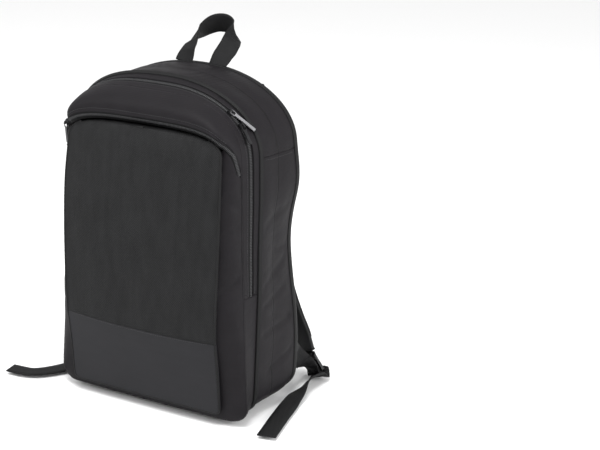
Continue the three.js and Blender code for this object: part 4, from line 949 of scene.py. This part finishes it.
def cord_along(name, lines, radius, material, sides=6):
    """A thin round cord along each line, closed at its ends."""
    shape = bmesh.new()
    turns = [2 * math.pi * step / sides for step in range(sides)]
    for line in lines:
        line = [
            point for k, point in enumerate(line)
            if k == 0 or (point - line[k - 1]).length > TOO_NEAR
        ]
        side = (line[1] - line[0]).normalized().orthogonal()
        rings = []
        for k, point in enumerate(line):
            way = (line[min(k + 1, len(line) - 1)] - line[max(k - 1, 0)]).normalized()
            side = (side - way * side.dot(way)).normalized()
            other = way.cross(side)
            rings.append([
                shape.verts.new(point + (side * math.cos(turn) + other * math.sin(turn)) * radius)
                for turn in turns
            ])
        for ring, following in zip(rings, rings[1:]):
            for k in range(sides):
                after = (k + 1) % sides
                shape.faces.new((ring[k], ring[after], following[after], following[k]))
        shape.faces.new(rings[0][::-1])
        shape.faces.new(rings[-1])
    bmesh.ops.recalc_face_normals(shape, faces=shape.faces)
    mesh = bpy.data.meshes.new(name)
    shape.to_mesh(mesh)
    shape.free()
    return as_piece(name, mesh, material)


def turns_back(edge, one, two):
    """True where the front of the pocket's panel turns back into its side."""
    if all(abs(end.co.z - PANEL_SEAM) < 2 * MM for end in edge.verts):
        return False
    front, side = sorted((one.normal.y, two.normal.y))
    return front < -0.62 and side > -0.5 and edge.calc_face_angle(0) > TURNED_BACK


def beside_edge(point):
    """Where the cord's middle lies, a little outside and behind the panel's edge."""
    return point + Vector((math.copysign(PIPING_OUT, point.x), PIPING_BACK, 0))


panel_edges = []
for node in ("pocket_panel", "pocket_lower_panel"):
    for line in edge_lines(sewn[node].data, turns_back):
        if len(line) > SHORTEST_LINE:
            panel_edges.append([beside_edge(point) for point in line])
cord_along("pocket_panel_piping", panel_edges, PIPING_RADIUS, binding_tape)
print("piping lines:", [len(line) for line in panel_edges])


def rim(edge, one, two):
    """True along both rims of a padded strap."""
    return edge.calc_face_angle(0) > RIM_ANGLE


for side_name in ("right", "left"):
    strap = padded["shoulder_strap_" + side_name]
    rims = [line for line in edge_lines(strap.data, rim) if len(line) > SHORTEST_RIM]
    cord_along("strap_piping_" + side_name, rims, STRAP_PIPING_RADIUS, binding_tape)
    print("strap", side_name, "rims:", [len(line) for line in rims])

# %% [markdown]
# ## Stitches
# Rows of stitches hold the seams flat. A stitch is about three millimetres long, and the thread
# sinks into the cloth at its ends, so each is a small low rib. The rows follow the zips and the
# seams at a few millimetres' distance, as a sewing machine's foot does.

# %% Rows of stitches beside the seams
STITCH_PITCH = 3.2 * MM
STITCH = (2.3 * MM, 0.7 * MM, 0.35 * MM)
STITCH_SUNK = 0.1 * MM
LOWER_SEAM_HEIGHT = 112.5 * MM
LOWER_SEAM_HALF = 108
SIDE_SEAM_HEIGHT = 347.5 * MM
SIDE_SEAM_RUN = (-22, 42)
BEFORE_PANEL = -110 * MM
BESIDE_GUSSET = 160 * MM
SEAM_STEP = 4
POCKET_CORNER = 121 * MM


def stitched(name, line, on):
    """A row of stitches on a piece, along the places of it that are nearest to a line."""
    on_cloth = [on.closest_point_on_mesh(point)[1] for point in line]
    return ribs(name, evenly(on_cloth, STITCH_PITCH), on, STITCH, STITCH_SUNK, thread)


def shifted(line, dy=0, dz=0):
    return [point + Vector((0, dy, dz)) * MM for point in line]


seam_line = [
    (x * MM, BEFORE_PANEL, LOWER_SEAM_HEIGHT)
    for x in range(-LOWER_SEAM_HALF, LOWER_SEAM_HALF + 1, SEAM_STEP)
]
over_pocket = [point for point in pocket_line if abs(point.x) < POCKET_CORNER]
rows = {
    "stitches_lower_panel": (seam_line, sewn["pocket_lower_panel"]),
    "stitches_over_pocket_zip": (
        shifted(over_pocket, dy=-3, dz=9), sewn["front_panel"],
    ),
    "stitches_before_main_zip": (shifted(main_line, dy=-7), sewn["gusset_front_strip"]),
    "stitches_behind_main_zip": (shifted(main_line, dy=6.5), sewn["gusset_rear_strip"]),
}
for side in (-1, 1):
    rows["stitches_side_seam_" + ("right" if side > 0 else "left")] = (
        [
            (side * BESIDE_GUSSET, y * MM, SIDE_SEAM_HEIGHT)
            for y in range(*SIDE_SEAM_RUN, SEAM_STEP)
        ],
        sewn["expansion_gusset_lower"],
    )
for name, (line, on) in rows.items():
    row = stitched(name, line, on)
    print(name, len(row.data.polygons), "faces")

# %% [markdown]
# ## The hard parts
# The sliders, pulls and buckles already have their right shape. They stay as they are built, and
# get their metal or plastic and a small bevel, because no cast or moulded edge is quite sharp.

# %% Sliders, pulls and buckles
HARD = {
    "main_zip_front_slider": black_metal,
    "main_zip_front_pull": bright_metal,
    "main_zip_rear_slider": black_metal,
    "main_zip_rear_pull": black_metal,
    "pocket_zip_slider": black_metal,
    "pocket_zip_pull": black_metal,
    "back_pocket_slider": black_metal,
    "back_pocket_pull": black_metal,
    "buckle_right": moulded_nylon,
    "buckle_left": moulded_nylon,
}
BEVEL_WIDTH = 0.25 * MM
BEVEL_STEPS = 2
for node, material in HARD.items():
    part = nodes[node]
    part.data.materials.clear()
    part.data.materials.append(material)
    edge = part.modifiers.new("soft_edge", "BEVEL")
    edge.width = BEVEL_WIDTH
    edge.segments = BEVEL_STEPS
    edge.limit_method = "ANGLE"
print("hard parts:", len(HARD))

# %% [markdown]
# ## The floor
# The floor is one pale plane with a faint grain. It is part of the stage and not of the bag.

# %% Floor
FLOOR_REACH = 9


def floor_recipe(place, x, y, z):
    grain = mottle(place, 4 * MM)
    return grain.tint((0.86, 0.86, 0.86), (0.90, 0.90, 0.90)), 0.6 + grain * 0.1, grain


shape = bmesh.new()
bmesh.ops.create_grid(shape, x_segments=8, y_segments=8, size=FLOOR_REACH)
floor_mesh = bpy.data.meshes.new("studio_floor")
shape.to_mesh(floor_mesh)
shape.free()
floor = bpy.data.objects.new("studio_floor", floor_mesh)
bpy.context.collection.objects.link(floor)
lowest_tail = min(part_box("strap_webbing_right")[0][2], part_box("strap_webbing_left")[0][2])
floor.location.z = min(0.0, lowest_tail)
floor_mesh.materials.append(finish("studio_paint", floor_recipe, specular=0.1, relief=0.05))
print("floor at", round(floor.location.z / MM, 1), "mm")

# %% [markdown]
# ## The cloth and its solids
# Cloth may stand a little proud of the solids and no more.
